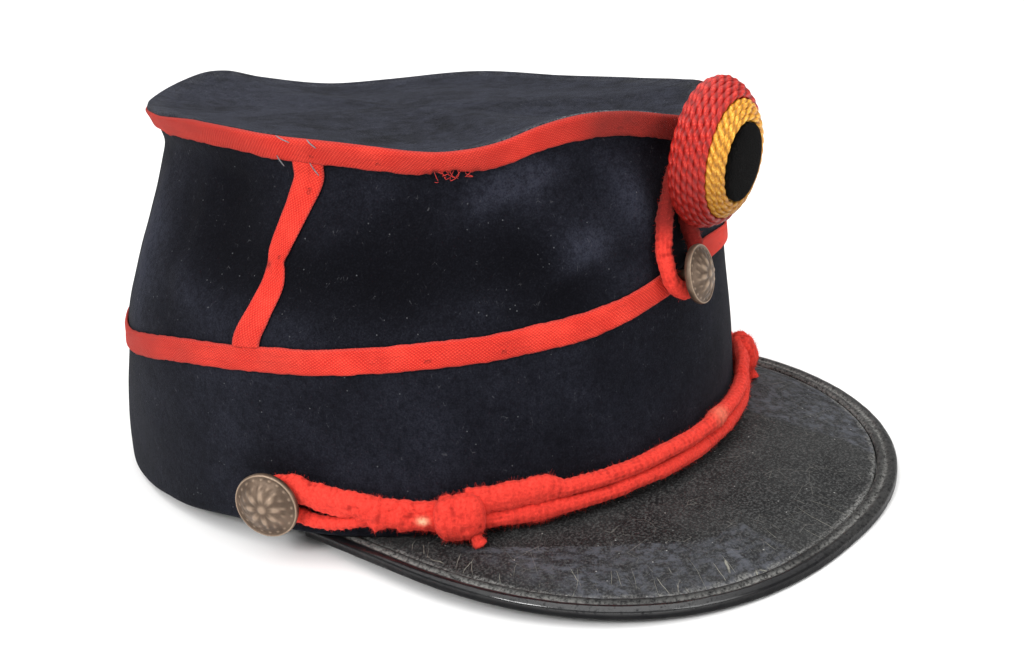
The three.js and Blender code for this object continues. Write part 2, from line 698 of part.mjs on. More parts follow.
// Tipped back so that the peak's tip and the back of the band lie on one level surface
const kepi = new THREE.Group();
cap.rotation.x = -REST_TILT;
kepi.add(cap);
kepi.updateMatrixWorld(true);
const box = new THREE.Box3().setFromObject(kepi, true);
cap.position.set(-(box.min.x + box.max.x) / 2, -(box.min.y + box.max.y) / 2, -box.min.z);

export default kepi;
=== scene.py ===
"""Looks of a soldier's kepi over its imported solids: wool walls, red tapes, wool cords, lacquered
leather, bronze buttons and a wound silk cockade. Shapes are worked out in millimetres before the
cap is tipped to rest; place() then gives metres in the frame of the solids.
Angles round the head start at the front and grow towards the wearer's right, which is -X."""
import math

import bpy
import numpy as np
from mathutils import Matrix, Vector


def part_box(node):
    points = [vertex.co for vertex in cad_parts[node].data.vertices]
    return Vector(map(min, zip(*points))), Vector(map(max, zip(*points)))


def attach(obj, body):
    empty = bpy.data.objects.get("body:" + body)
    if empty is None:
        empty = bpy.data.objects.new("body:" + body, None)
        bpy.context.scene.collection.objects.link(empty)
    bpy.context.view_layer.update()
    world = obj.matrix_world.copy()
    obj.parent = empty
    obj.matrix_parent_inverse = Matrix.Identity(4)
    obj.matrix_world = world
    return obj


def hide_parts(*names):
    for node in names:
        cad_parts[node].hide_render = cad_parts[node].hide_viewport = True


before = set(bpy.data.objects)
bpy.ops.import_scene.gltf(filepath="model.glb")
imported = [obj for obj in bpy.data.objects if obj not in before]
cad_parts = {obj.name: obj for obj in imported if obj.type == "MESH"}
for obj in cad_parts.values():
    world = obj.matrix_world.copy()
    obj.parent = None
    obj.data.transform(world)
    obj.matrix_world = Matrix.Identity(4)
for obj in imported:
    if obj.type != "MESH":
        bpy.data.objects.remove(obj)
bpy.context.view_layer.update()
rng = np.random.default_rng(12261)

# Sizes shared with the solids, in millimetres
WOOL, TOP, GAP = 2.4, 2.2, 0.3
REST_SLOPE = 10.4 / 242.75
TILT = math.atan(REST_SLOPE)
# Ovals round the head: half width, front, back, middle's y, fullness of the back
FOOT_OVAL = np.array([87.5, 95, 99, 0, 2])
SEAM_OVAL = np.array([87, 94, 83, 0, 1.84])
EDGE_OVAL = np.array([70, 86, 83, -5, 1.84])
TAPE_WIDTH, TAPE_THICK, TAPE_BEVEL, TAPE_OVERHANG = 7.0, 1.1, 2.0, 3.0
PEAK_HALF, PEAK_CORNER, PEAK_SHOULDER, PEAK_REACH, PEAK_ROUND = 78.0, -42.0, -60.0, 83.75, 2.32
BINDING_WIDTH = 5.3
CORD_UPPER, CORD_LOWER, CORD_STAND, CORD_RADIUS, END_STAND = 8.1, 3.6, 2.6, 2.05, 2.4
KNOT_ANGLE, KNOT_HEIGHT = 42.0, 6.2
SIDE_ANGLE, SIDE_HEIGHT = 70.0, 11.3
NOSE_ANGLE, NOSE_WIDTH, NOSE_REACH = -20.0, 24.0, 7.0
BINDING_CORNER = -33.0
COCKADE_HALF = np.array([14.2, 19.4])
COCKADE_MIDDLE, COCKADE_PITCH = np.array([8.5, -103, 82]), math.radians(11.4)
FRONT_BUTTON, FRONT_FACING = np.array([1.7, -102.7, 53]), (0.225, -0.974, 0.14)
# Radius of a button and how far its shank reaches back
FRONT_SIZE, SIDE_SIZE, SIDE_STAND, SIDE_TURN = (7.5, 6.3), (8.5, 6.7), 7.0, math.radians(66)

BAND_FOOT = np.array([(0, 0), (58, 0), (80, 1.3), (97, -0.6), (108, -1.7)], float)
SEAM = np.array([
    (-180, 40), (-148, 40.5), (-115, 41.5), (-92, 45.4), (-78, 46.6), (-50, 47.6), (-32, 50), (-20, 52.5),
    (-10, 53), (0, 50.4), (6, 49.1), (12, 47.7), (20, 46.4), (40, 46.5), (78, 46.6), (92, 45.4),
    (115, 41.5), (148, 40.5)], float)
CROWN_RIM = np.array([
    (-170, 95.3), (-152, 89.8), (-137, 88.8), (-115, 89.3), (-91, 87.5), (-66, 88.7), (-46, 91.1),
    (-36, 92.3), (-25, 90.8), (-10, 90), (-4, 91.7), (2, 93.7), (8, 95.4), (16, 96.4), (24, 95.6),
    (33, 92.9), (42, 92), (50, 93), (67, 96.8), (89, 100.7), (112, 101.9), (140, 100.2), (168, 100.7),
    (180, 99)])
# Rise from the band seam to the crown's edge, lean towards the edge's oval, flare behind its tape
CROWN_SECTIONS = np.array([
    (0, 0, 0), (0.08, 0.03, 0), (0.18, 0.12, 0), (0.28, 0.24, 0), (0.38, 0.38, 0), (0.48, 0.53, 0),
    (0.58, 0.67, 0), (0.68, 0.8, 0), (0.77, 0.91, 0), (0.86, 1, 0), (0.93, 1, 0.6), (1, 1, 1.6)])
# Folds of the crown's side: angle, height, run, length, width, depth
FOLDS = np.array([
    (17, 62, 35, 17, 7, 2.2), (17, 53, -35, 15, 5, -2), (5, 74, 75, 12, 6, 1.8),
    (32, 85, -10, 16, 5, 1.6), (45, 66, 20, 26, 12, -2.6), (70, 65, 8, 26, 6, -2.4),
    (84, 79, 60, 18, 12, -3), (110, 70, 70, 18, 9, 1.6), (150, 64, 10, 30, 8, -2.2),
    (-30, 62, -30, 20, 7, 2), (-62, 66, 5, 34, 6, -2.6), (-88, 58, 4, 36, 7, 2.4),
    (-130, 66, -12, 32, 7, -2.4)])
# Smaller creases of the cloth over those folds, laid out in the same way
CREASES = np.array([
    (33, 79, -17, 22, 4.5, 1.2), (36, 87, -8, 20, 3.5, -1.0), (27, 63, 20, 10, 8, -2.4),
    (21, 55, -30, 11, 3.5, -1.4), (35, 55.5, -4, 15, 4.5, 1.1), (52, 62, 30, 14, 5, -1.0),
    (58, 78, -40, 12, 5, 0.9), (86, 60, 25, 18, 5, 1.0), (96, 74, 70, 14, 6, -1.0),
    (10, 80, 60, 10, 4, 0.9), (-20, 70, -20, 14, 5, -1.0)])
# Side tape: rise up the crown, angle of its middle, width
SIDE_TAPE = np.array([
    (0.05, 72.2, 7.6), (0.11, 72, 7.6), (0.18, 71.4, 7.6), (0.26, 70.8, 7.4),
    (0.34, 70.6, 6.8), (0.41, 71.0, 5.8), (0.45, 71.3, 5.0), (0.5, 71.1, 6.2),
    (0.54, 70.8, 6.8), (0.64, 70, 7.6), (0.76, 69, 8.3), (0.86, 68.2, 8.8), (0.97, 67.4, 9.4)])
# In from the peak's edge, and up from the edge's middle
BINDING_PROFILE = np.array([
    (5.3, 0.7), (4.2, 1.6), (3.1, 1.0), (1.7, 1.7), (0.3, 0.9), (0.3, -0.9), (1.7, -1.7),
    (3.1, -1.7), (4.2, -1.6), (5.3, -1.3)])
LOOP_ROUTE = np.array([
    (6.4, -94, 78.2), (4.2, -94.1, 75.4), (2.2, -94.4, 72), (-1, -95.2, 68.4), (-3.3, -96, 62.8),
    (-4.5, -97, 57.4), (-4.1, -98.1, 52.4), (0.2, -98.5, 48.4), (4, -98.1, 49), (6.9, -97.6, 53.2),
    (8.4, -96.7, 58), (8.4, -95, 63), (9.6, -94.3, 71), (10.8, -94, 76.6)])
# Edge of the peak's lighter patch, partly scuffing and partly painted reflection, from the wearer's right
# towards the tip
SCUFF_EDGE = np.array([
    (-70, -66), (-62, -75), (-59.4, -79.3), (-52.9, -87.8), (-46, -96.5), (-39.2, -104.3), (-33.5, -110.6),
    (-27.7, -116.1), (-22.5, -118.9), (-17.8, -119.7), (-13.1, -120.8), (-8, -122)])


def place(points):
    """Millimetres before the cap is tipped, to metres at rest: a turn by the tilt, then a shift."""
    x, y, z = np.moveaxis(np.asarray(points, float), -1, 0)
    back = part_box("band")[1].y * 1000 - 99 * math.cos(TILT)
    turned_y = math.cos(TILT) * y + math.sin(TILT) * z + back
    turned_z = math.cos(TILT) * z - math.sin(TILT) * y + 99 * math.sin(TILT)
    return np.stack([x, turned_y, turned_z], -1) / 1000


def smooth(value):
    """3t^2 - 2t^3 with t held between 0 and 1."""
    t = np.clip(value, 0, 1)
    return t * t * (3 - 2 * t)


def unit(vectors):
    """Each vector over its own length."""
    return vectors / np.maximum(np.linalg.norm(vectors, axis=-1, keepdims=True), 1e-9)


def curve(xs, ys, at):
    """Cubic through a table's rows; a row's slope is the one between the rows beside it."""
    xs, ys, at = np.asarray(xs, float), np.asarray(ys, float), np.asarray(at, float)
    wide = xs if ys.ndim == 1 else xs[:, None]
    ends = [(ys[1:2] - ys[:1]) / (wide[1:2] - wide[:1]), (ys[-1:] - ys[-2:-1]) / (wide[-1:] - wide[-2:-1])]
    slopes = np.concatenate([ends[0], (ys[2:] - ys[:-2]) / (wide[2:] - wide[:-2]), ends[1]])
    row = np.clip(np.searchsorted(xs, at, side="right") - 1, 0, len(xs) - 2)
    span = xs[row + 1] - xs[row]
    t = np.clip((at - xs[row]) / span, 0, 1)
    if ys.ndim > 1:
        span, t = span[..., None], t[..., None]
    rising = t * t * (3 - 2 * t)
    bend = slopes[row] * t * (1 - t) ** 2 - slopes[row + 1] * t * t * (1 - t)
    return ys[row] + (ys[row + 1] - ys[row]) * rising + span * bend


def beside(table, angle):
    """Height from a table of one side of the head: smooth steps between its rows."""
    side = np.minimum(np.abs(angle), table[-1, 0])
    row = np.clip(np.searchsorted(table[:, 0], side, side="left"), 1, len(table) - 1)
    (start, low), (end, high) = table[row - 1].T, table[row].T
    return (low + (high - low) * smooth((side.T - start) / (end - start))).T


def around(table, angle):
    """Height from a table that goes once round the head: a cubic repeated every full turn."""
    laps = np.concatenate([table - [360, 0], table, table + [360, 0]])
    return curve(laps[:, 0], laps[:, 1], np.mod(np.asarray(angle, float) + 180, 360) - 180)


def rim_height(angle):
    """Height of the crown's edge."""
    return around(CROWN_RIM, angle)


def seam_height(angle):
    """Height of the seam between band and crown."""
    return around(SEAM, angle)


def mottle(points, size, seed=0):
    """Smooth chance value from -1 to 1: numbers fixed by lattice corner, blended between corners."""
    cell = np.asarray(points, float) / size
    base = np.floor(cell)
    t = cell - base
    t = t * t * (3 - 2 * t)
    total = np.zeros(cell.shape[:-1])
    for corner in np.ndindex(2, 2, 2):
        key = (base + corner) @ np.array([12.9898, 78.233, 37.719]) + seed * 5.317
        weight = np.prod(np.where(np.array(corner) == 1, t, 1 - t), axis=-1)
        total += weight * (np.mod(np.sin(key) * 43758.5453, 1) * 2 - 1)
    return total


def oval_point(oval, angle, height, lift=0.0):
    """Half width times sine and reach times cosine, to the power 2 / fullness at the back."""
    half, front, back, middle, full = np.moveaxis(np.asarray(oval, float), -1, 0)
    turn = np.radians(angle)
    sine, cosine = np.sin(turn), np.cos(turn)
    power = np.where(cosine > 0, 1.0, 2 / full)
    reach = np.where(cosine > 0, front, back) + lift
    x = -(half + lift) * np.sign(sine) * np.abs(sine) ** power
    y = middle - reach * np.sign(cosine) * np.abs(cosine) ** power
    return np.stack(np.broadcast_arrays(x, y, height), -1)


def nose(angle):
    """Forward pull of the crown's edge behind the cockade: a bell round one angle."""
    turn = np.mod(np.asarray(angle, float) - NOSE_ANGLE + 180, 360) - 180
    return NOSE_REACH * np.exp(-(turn / NOSE_WIDTH) ** 2)


def cloth_lift(points):
    """Small unevenness of pressed wool: two sizes of smooth chance waves."""
    return 0.35 * mottle(points, 24, 1) + 0.12 * mottle(points, 7, 2)


def band_point(angle, share, lift=0.0):
    """Band's outer face between its foot and seam ovals, moved out by lift."""
    angle, share, lift = np.broadcast_arrays(np.asarray(angle, float), share, lift)
    oval = FOOT_OVAL + (SEAM_OVAL - FOOT_OVAL) * (np.clip(share, 0, 1) ** 1.4)[..., None]
    rest = REST_SLOPE * (oval_point(FOOT_OVAL, angle, 0, lift)[..., 1] - 99)
    low = beside(BAND_FOOT, angle)
    foot = low + (rest - low) * smooth((np.abs(angle) - 108) / 14)
    height = foot + (seam_height(angle) - foot) * share
    uneven = cloth_lift(oval_point(oval, angle, height)) * smooth(share * 3)
    return oval_point(oval, angle, height, lift + uneven)


def fold_depth(angle, height):
    """Sum of bell-shaped folds, each along and across its own run."""
    arc = math.radians((87 + 86) / 2)
    total = 0
    for middle, level, run, length, width, depth in np.concatenate([FOLDS, CREASES]):
        sideways = (np.mod(angle - middle + 180, 360) - 180) * arc
        up = height - level
        cosine, sine = math.cos(math.radians(run)), math.sin(math.radians(run))
        along = (sideways * cosine + up * sine) / length
        across = (up * cosine - sideways * sine) / width
        total = total + depth * np.exp(-along ** 2 - across ** 2)
    return total


def crown_point(angle, rise, lift=0.0):
    """Crown's outer face: leans from the seam oval to the edge oval, with folds, moved by lift."""
    angle, rise, lift = np.broadcast_arrays(np.asarray(angle, float), rise, lift)
    lean = curve(CROWN_SECTIONS[:, 0], CROWN_SECTIONS[:, 1], rise)
    flare = curve(CROWN_SECTIONS[:, 0], CROWN_SECTIONS[:, 2], rise)
    foot = seam_height(angle) + GAP
    height = foot + (rim_height(angle) - TOP - 1.8 - foot) * rise
    under = EDGE_OVAL - np.array([1, 1, 1, 0, 0]) * (TAPE_THICK + GAP + TAPE_OVERHANG)
    oval = SEAM_OVAL + (under - SEAM_OVAL) * lean[..., None]
    fold = fold_depth(angle, height) * smooth(rise * 7) * smooth((0.88 - rise) * 9)
    uneven = cloth_lift(oval_point(oval, angle, height))
    return oval_point(oval, angle, height, fold + flare + lift + uneven + nose(angle) * lean)


def top_point(angle, share, drop=0.0):
    """Crown's top: rim heights blended to their mean at the middle, dished by four millimetres."""
    angle, share, drop = np.broadcast_arrays(np.asarray(angle, float), share, drop)
    rim = EDGE_OVAL - np.array([1, 1, 1, 0, 0]) * (TAPE_THICK + GAP)
    scale = np.stack([share, share, share, np.ones_like(share), np.ones_like(share)], -1)
    middle = rim_height(np.array([0, 90, 180, -90])).mean()
    height = middle + (rim_height(angle) - middle) * share ** 1.5 - 4 * (1 - np.minimum(share, 1) ** 4) - GAP
    found = oval_point(rim * scale, angle, height - drop, nose(angle) * np.minimum(share, 1) ** 2)
    found[..., 2] += 0.7 * mottle(found * [1, 1, 0], 26, 3) * (1 - np.minimum(share, 1) ** 6)
    return found


def peak_edge(spot, inset=0.0, corner=PEAK_CORNER):
    """Peak's edge from the wearer's right corner (-1) to the left (1): straight sides, then a full oval."""
    spot, inset = np.broadcast_arrays(np.asarray(spot, float), inset)
    side, away = np.where(spot < 0, -1.0, 1.0), np.abs(spot)
    straight = np.clip((away - 0.88) / 0.12, 0, 1)
    turn = np.pi / 2 * (1 - np.minimum(away, 0.88) / 0.88)
    power = 2 / PEAK_ROUND
    x = side * (PEAK_HALF - inset) * np.abs(np.cos(turn)) ** power
    y = PEAK_SHOULDER - (PEAK_REACH - inset) * np.abs(np.sin(turn)) ** power
    return x, y + straight * (corner - PEAK_SHOULDER)


def peak_edge_height(y):
    """Edge's middle: two below the band's foot, drooping seven more to the tip."""
    return -2 - 7 * (np.maximum(0, PEAK_SHOULDER - y) / PEAK_REACH) ** 1.5


def peak_point(spot, share, drop=0.0):
    """Peak's upper face: straight from the band to the binding, with a low arch between."""
    spot, share, drop = np.broadcast_arrays(np.asarray(spot, float), share, drop)
    inner = oval_point(FOOT_OVAL, -spot * 62, -GAP, -WOOL * 0.8)
    x, y = peak_edge(spot, BINDING_WIDTH + GAP)
    outer = np.stack([x, y, peak_edge_height(y) + 0.6], -1)
    reach = np.clip(np.linalg.norm(outer - inner, axis=-1) / 50, 0, 1)
    found = inner + (outer - inner) * share[..., None]
    found[..., 2] += 1.6 * reach * np.sin(np.pi * share) * share - drop
    return found


def skin(grid, wrap=(0, 0), caps=False, chart=None, **marks):
    """Quads over a grid of points or a batch of grids. wrap joins last to first along rows or
    columns, caps closes the end rows with fans, chart gives cloth millimetres for each point."""
    grid = np.asarray(grid, float)
    batch = grid.reshape((-1,) + grid.shape[-3:])
    count, rows, columns = batch.shape[:3]
    near = np.arange(rows * columns).reshape(rows, columns)
    wide = np.pad(near, ((0, wrap[0]), (0, wrap[1])), mode="wrap")
    seat = np.arange(wide.size).reshape(wide.shape)
    corners = [
        np.stack([k[:-1, :-1], k[:-1, 1:], k[1:, 1:], k[1:, :-1]], -1).reshape(-1, 4) for k in (wide, seat)]
    quads, seats = corners
    fans, fan_seats = np.zeros((0, 3), int), np.zeros((0, 3), int)
    points = batch.reshape(count, rows * columns, 3)
    if caps:
        points = np.concatenate([points, batch[:, 0].mean(1)[:, None], batch[:, -1].mean(1)[:, None]], 1)
        first, last = rows * columns, rows * columns + 1
        turn = wide[:, :columns + 1] if wrap[1] else np.concatenate([near, near[:, :1]], 1)
        hub = np.full(columns, first)
        fans = np.concatenate([np.stack([hub, turn[0, 1:], turn[0, :-1]], -1),
                               np.stack([hub * 0 + last, turn[rows - 1, :-1], turn[rows - 1, 1:]], -1)])
        fan_seats = np.concatenate([
            seat[:1, [0] * 3].repeat(columns, 0), seat[rows - 1:rows, [0] * 3].repeat(columns, 0)])
    a, b, c, d = (points[0][quads[:, k]] for k in range(4))
    volume = np.sum(a * np.cross(b, c)) + np.sum(a * np.cross(c, d))
    if len(fans):
        p, q, r = (points[0][fans[:, k]] for k in range(3))
        volume += np.sum(p * np.cross(q, r))
    if volume < 0:
        quads, seats, fans, fan_seats = quads[:, ::-1], seats[:, ::-1], fans[:, ::-1], fan_seats[:, ::-1]
    size = points.shape[1]
    shift = (np.arange(count) * size)[:, None, None]
    flat = np.zeros(wide.shape + (2,)) if chart is None else np.asarray(chart, float)
    flat = np.broadcast_to(flat, (count,) + wide.shape + (2,)).reshape(count, -1, 2)
    extra = {}
    for key, value in marks.items():
        held = np.broadcast_to(value, batch.shape[:3]).reshape(count, -1)
        if caps:
            held = np.concatenate([held, held[:, :1], held[:, -1:]], 1)
        extra[key] = held.reshape(-1)
    return {"points": points.reshape(-1, 3), "quads": (quads + shift).reshape(-1, 4),
            "fans": (fans + shift).reshape(-1, 3), "chart": flat[:, seats].reshape(-1, 2),
            "fan_chart": flat[:, fan_seats].reshape(-1, 2), "marks": extra}


def make(name, skins, finish, slot, *nodes):
    """One mesh piece from several skins, riding on the cap and standing for these solids."""
    starts = np.cumsum([0] + [len(s["points"]) for s in skins])
    points = place(np.concatenate([s["points"] for s in skins]))
    quads = np.concatenate([s["quads"] + k for s, k in zip(skins, starts)])
    fans = np.concatenate([s["fans"] + k for s, k in zip(skins, starts)])
    corners = np.concatenate([quads.reshape(-1), fans.reshape(-1)])
    mesh = bpy.data.meshes.new(name)
    mesh.vertices.add(len(points))
    mesh.vertices.foreach_set("co", points.reshape(-1).astype(np.float32))
    mesh.loops.add(len(corners))
    mesh.loops.foreach_set("vertex_index", corners.astype(np.int32))
    mesh.polygons.add(len(quads) + len(fans))
    begin = np.concatenate([np.arange(len(quads)) * 4, len(quads) * 4 + np.arange(len(fans)) * 3])
    mesh.polygons.foreach_set("loop_start", begin.astype(np.int32))
    mesh.update(calc_edges=True)
    chart = np.concatenate([s["chart"] for s in skins] + [s["fan_chart"] for s in skins])
    mesh.uv_layers.new(name="cloth").data.foreach_set("uv", chart.reshape(-1).astype(np.float32))
    for key in sorted(set().union(*(s["marks"] for s in skins))):
        held = [s["marks"].get(key, np.zeros(len(s["points"]))) for s in skins]
        mesh.attributes.new(key, "FLOAT", "POINT").data.foreach_set(
            "value", np.concatenate(held).astype(np.float32))
    mesh.validate()
    mesh.shade_smooth()
    mesh.materials.append(finish)
    piece = bpy.data.objects.new(name, mesh)
    bpy.context.scene.collection.objects.link(piece)
    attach(piece, "root")
    if nodes:
        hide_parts(*nodes)
    return piece


def frames(path, up, closed=False):
    """Unit sideways and upward vectors square to a path, the second as near to up as can be."""
    step = np.roll(path, -1, 0) - np.roll(path, 1, 0) if closed else np.gradient(path, axis=0)
    ahead = unit(step)
    up = np.broadcast_to(np.asarray(up, float), path.shape)
    high = unit(up - np.sum(up * ahead, -1, keepdims=True) * ahead)
    return np.cross(ahead, high), high


def run_length(path):
    """Distance along a path at each of its points."""
    return np.concatenate([[0], np.cumsum(np.linalg.norm(np.diff(path, axis=0), axis=-1))])


def along(points, step, closed=False):
    """Points every step along a cubic through the given ones."""
    points = np.asarray(points, float)
    ring = np.concatenate([points[-2:], points, points[:3]]) if closed else points
    run = run_length(ring)
    start, end = (run[2], run[-3]) if closed else (0, run[-1])
    count = max(4, int(round((end - start) / step)))
    return curve(run, ring, np.linspace(start, end, count + (0 if closed else 1))[:count if closed else None])


def twisted(path, radius, plies=2, pitch=4.0, sides=16, up=(0, 0, 1), closed=False, phase=0.0):
    """Twisted cord: each ring follows the outline of its round plies, turned a lap every pitch."""
    side, high = frames(path, up, closed)
    run = run_length(path)
    laps = run / pitch
    if closed:
        whole = run[-1] + np.linalg.norm(path[0] - path[-1])
        laps = run / whole * max(1, round(whole / pitch))
    theta = np.linspace(0, 2 * np.pi, sides, endpoint=False)[None]
    lobe = theta - 2 * np.pi * laps[:, None] + phase
    lobe = np.mod(lobe + np.pi / plies, 2 * np.pi / plies) - np.pi / plies
    off, ply = 0.22 * radius, 0.78 * radius
    reach = off * np.cos(lobe) + np.sqrt(np.maximum(ply ** 2 - (off * np.sin(lobe)) ** 2, 0))
    ring = np.cos(theta)[..., None] * side[:, None] + np.sin(theta)[..., None] * high[:, None]
    grid = path[:, None] + reach[..., None] * ring
    around = np.linspace(0, 2 * np.pi * radius, sides + 1)
    runs = np.append(run, run[-1] + run[1]) if closed else run
    chart = np.stack(np.broadcast_arrays(runs[:, None], around[None]), -1)
    return skin(grid, (int(closed), 1), not closed, chart, hollow=1 - reach / radius)


def knitted(path, radius, tall=None, sides=30, up=(0, 0, 1), rough=0.14, seed=0, stitch=1.9):
    """Knitted wool tube: an oval ring at each point with small crossed stitches and chance lumps."""
    side, high = frames(path, up)
    run = run_length(path)[:, None]
    theta = np.linspace(0, 2 * np.pi, sides, endpoint=False)[None]
    radius = np.broadcast_to(np.asarray(radius, float), path.shape[:1])[:, None]
    tall = radius if tall is None else np.broadcast_to(np.asarray(tall, float), path.shape[:1])[:, None]
    flat = ((radius * np.cos(theta))[..., None] * side[:, None]
            + (tall * np.sin(theta))[..., None] * high[:, None])
    rows = np.pi * run / stitch
    knit = np.sin(rows + 5 * theta) * np.sin(rows - 5 * theta)
    rise = (0.15 * knit + rough * mottle(path[:, None] + flat, 0.9, seed)
            + 1.4 * rough * mottle(path[:, None] + flat, 2.6, seed + 1))
    grid = path[:, None] + flat + rise[..., None] * unit(flat)
    chart = np.stack(np.broadcast_arrays(run, np.linspace(0, 2 * np.pi, sides + 1)[None] * radius), -1)
    return (skin(grid, (0, 1), True, chart, hollow=np.clip(0.5 - rise / (0.55 + 1.4 * rough), 0, 1)),
            grid, unit(flat))


def fuzz(grid, outward, count, length=0.5, radius=0.022, keep=None):
    """Short bent fibres from chance points of a grid: line = root + outward t + bend t squared."""
    chance = None if keep is None else (keep / keep.sum()).reshape(-1)
    pick = rng.choice(grid.shape[0] * grid.shape[1], count, p=chance)
    root, out = grid.reshape(-1, 3)[pick], outward.reshape(-1, 3)[pick]
    bend = rng.normal(size=(count, 3)) * 0.8
    reach = length * rng.uniform(0.35, 1.0, count)[:, None, None]
    out = unit(out + rng.normal(size=(count, 3)) * 0.45)
    t = np.array([-0.2, 0.5, 1.0])[None, :, None]
    line = root[:, None] + reach * (out[:, None] * t + bend[:, None] * t * t)
    side = unit(np.cross(out, bend))
    other = np.cross(out, side)
    turn = np.arange(3) * 2 * np.pi / 3
    ring = np.cos(turn)[:, None] * side[:, None] + np.sin(turn)[:, None] * other[:, None]
    thick = radius * np.array([1.0, 0.9, 0.35])[None, :, None, None]
    return skin(line[:, :, None] + thick * ring[:, None], (0, 1), True)


def thread(points, radius, sides=5):
    """A thin loose thread: a round tube along a cubic through its points."""
    path = along(points, 0.5)
    side, high = frames(path, (0.13, 0.2, 1))
    theta = np.linspace(0, 2 * np.pi, sides, endpoint=False)[None]
    taper = radius * (0.55 + 0.45 * np.sin(np.pi * np.linspace(0.06, 0.94, len(path))))[:, None, None]
    ring = np.cos(theta)[..., None] * side[:, None] + np.sin(theta)[..., None] * high[:, None]
    return skin(path[:, None] + taper * ring, (0, 1), True)


class Value:
    """A socket of a material's nodes that takes part in Python arithmetic by adding Math nodes."""

    def __init__(self, finish, socket):
        self.finish, self.socket = finish, socket

    def math(self, operation, *values):
        """One Math node on these values."""
        return self.finish.node("ShaderNodeMath", {"operation": operation}, dict(enumerate(values)))

    def __add__(self, other): return self.math("ADD", self, other)
    def __radd__(self, other): return self.math("ADD", other, self)
    def __sub__(self, other): return self.math("SUBTRACT", self, other)
    def __rsub__(self, other): return self.math("SUBTRACT", other, self)
    def __mul__(self, other): return self.math("MULTIPLY", self, other)
    def __rmul__(self, other): return self.math("MULTIPLY", other, self)
    def __truediv__(self, other): return self.math("DIVIDE", self, other)
    def __pow__(self, other): return self.math("POWER", self, other)
    def __lt__(self, other): return self.math("LESS_THAN", self, other)
    def __gt__(self, other): return self.math("GREATER_THAN", self, other)
    def sine(self): return self.math("SINE", self)
    def size(self): return self.math("ABSOLUTE", self)
    def fract(self): return self.math("FRACT", self)

    def step(self, low, high):
        """0 below low, 1 above high, and a smooth rise between (or a fall where low is higher)."""
        return self.finish.node("ShaderNodeMapRange", {"interpolation_type": "SMOOTHSTEP"},
                                {"Value": self, "From Min": low, "From Max": high})


class Finish:
    """A Principled material and the nodes that feed it. Patterns are in millimetres."""

    def __init__(self, name, **fixed):
        self.material = bpy.data.materials.new(name)
        self.material.use_nodes = True
        self.tree = self.material.node_tree
        self.shader = self.tree.nodes["Principled BSDF"]
        self.feed(self.shader, {key.replace("_", " "): value for key, value in fixed.items()})
        coordinates = self.node("ShaderNodeTexCoord", output="Object")
        self.spot = self.node("ShaderNodeVectorMath", {"operation": "SCALE"},
                              {0: coordinates, "Scale": 1000.0})

    def feed(self, node, sockets):
        """Links or sets each of a node's sockets."""
        for key, value in sockets.items():
            if isinstance(value, Value):
                self.tree.links.new(value.socket, node.inputs[key])
            else:
                node.inputs[key].default_value = value

    def node(self, kind, settings=None, sockets=None, output=0):
        """Adds a node: its settings first, then the values or links of its sockets."""
        made = self.tree.nodes.new(kind)
        for key, value in (settings or {}).items():
            setattr(made, key, value)
        self.feed(made, sockets or {})
        return Value(self, made.outputs[output])

    def noise(self, scale, detail=3.0, rough=0.55, at=None, output=0):
        """Cloudy pattern; a larger scale is finer."""
        sockets = {"Vector": at or self.spot, "Scale": scale, "Detail": detail, "Roughness": rough}
        return self.node("ShaderNodeTexNoise", None, sockets, output)

    def cells(self, scale, feature="F1", at=None, output=0, chance=1.0):
        """Distance to scattered points, or to the walls between them."""
        sockets = {"Vector": at or self.spot, "Scale": scale, "Randomness": chance}
        return self.node("ShaderNodeTexVoronoi", {"feature": feature}, sockets, output)

    def split(self, vector, axis):
        """One part of a vector."""
        return self.node("ShaderNodeSeparateXYZ", None, {0: vector}, axis)

    def cloth(self):
        """Millimetres along and across the piece's own cloth."""
        chart = self.node("ShaderNodeUVMap", {"uv_map": "cloth"})
        return chart, self.split(chart, "X"), self.split(chart, "Y")

    def mark(self, name):
        """A value that the piece's points carry."""
        return self.node("ShaderNodeAttribute", {"attribute_name": name}, None, "Fac")

    def stretch(self, vector, *scale):
        """A vector scaled along each axis."""
        return self.node("ShaderNodeVectorMath", {"operation": "MULTIPLY"}, {0: vector, 1: scale})

    def blend(self, share, start, end):
        """Colour part of the way from start to end."""
        start, end = (tuple(c) + (1.0,) if isinstance(c, tuple) and len(c) == 3 else c for c in (start, end))
        return self.node("ShaderNodeMix", {"data_type": "RGBA"}, {0: share, 6: start, 7: end}, 2)

    def done(self, colour, roughness=None, height=None, **others):
        """Feeds the shader, with height as a bump in millimetres."""
        sockets = {"Base Color": colour}
        if roughness is not None:
            sockets["Roughness"] = roughness
        if height is not None:
            sockets["Normal"] = self.node("ShaderNodeBump", None,
                                          {"Strength": 1.0, "Distance": 0.001, "Height": height})
        sockets.update({key.replace("_", " "): value for key, value in others.items()})
        self.feed(self.shader, sockets)
        return self.material


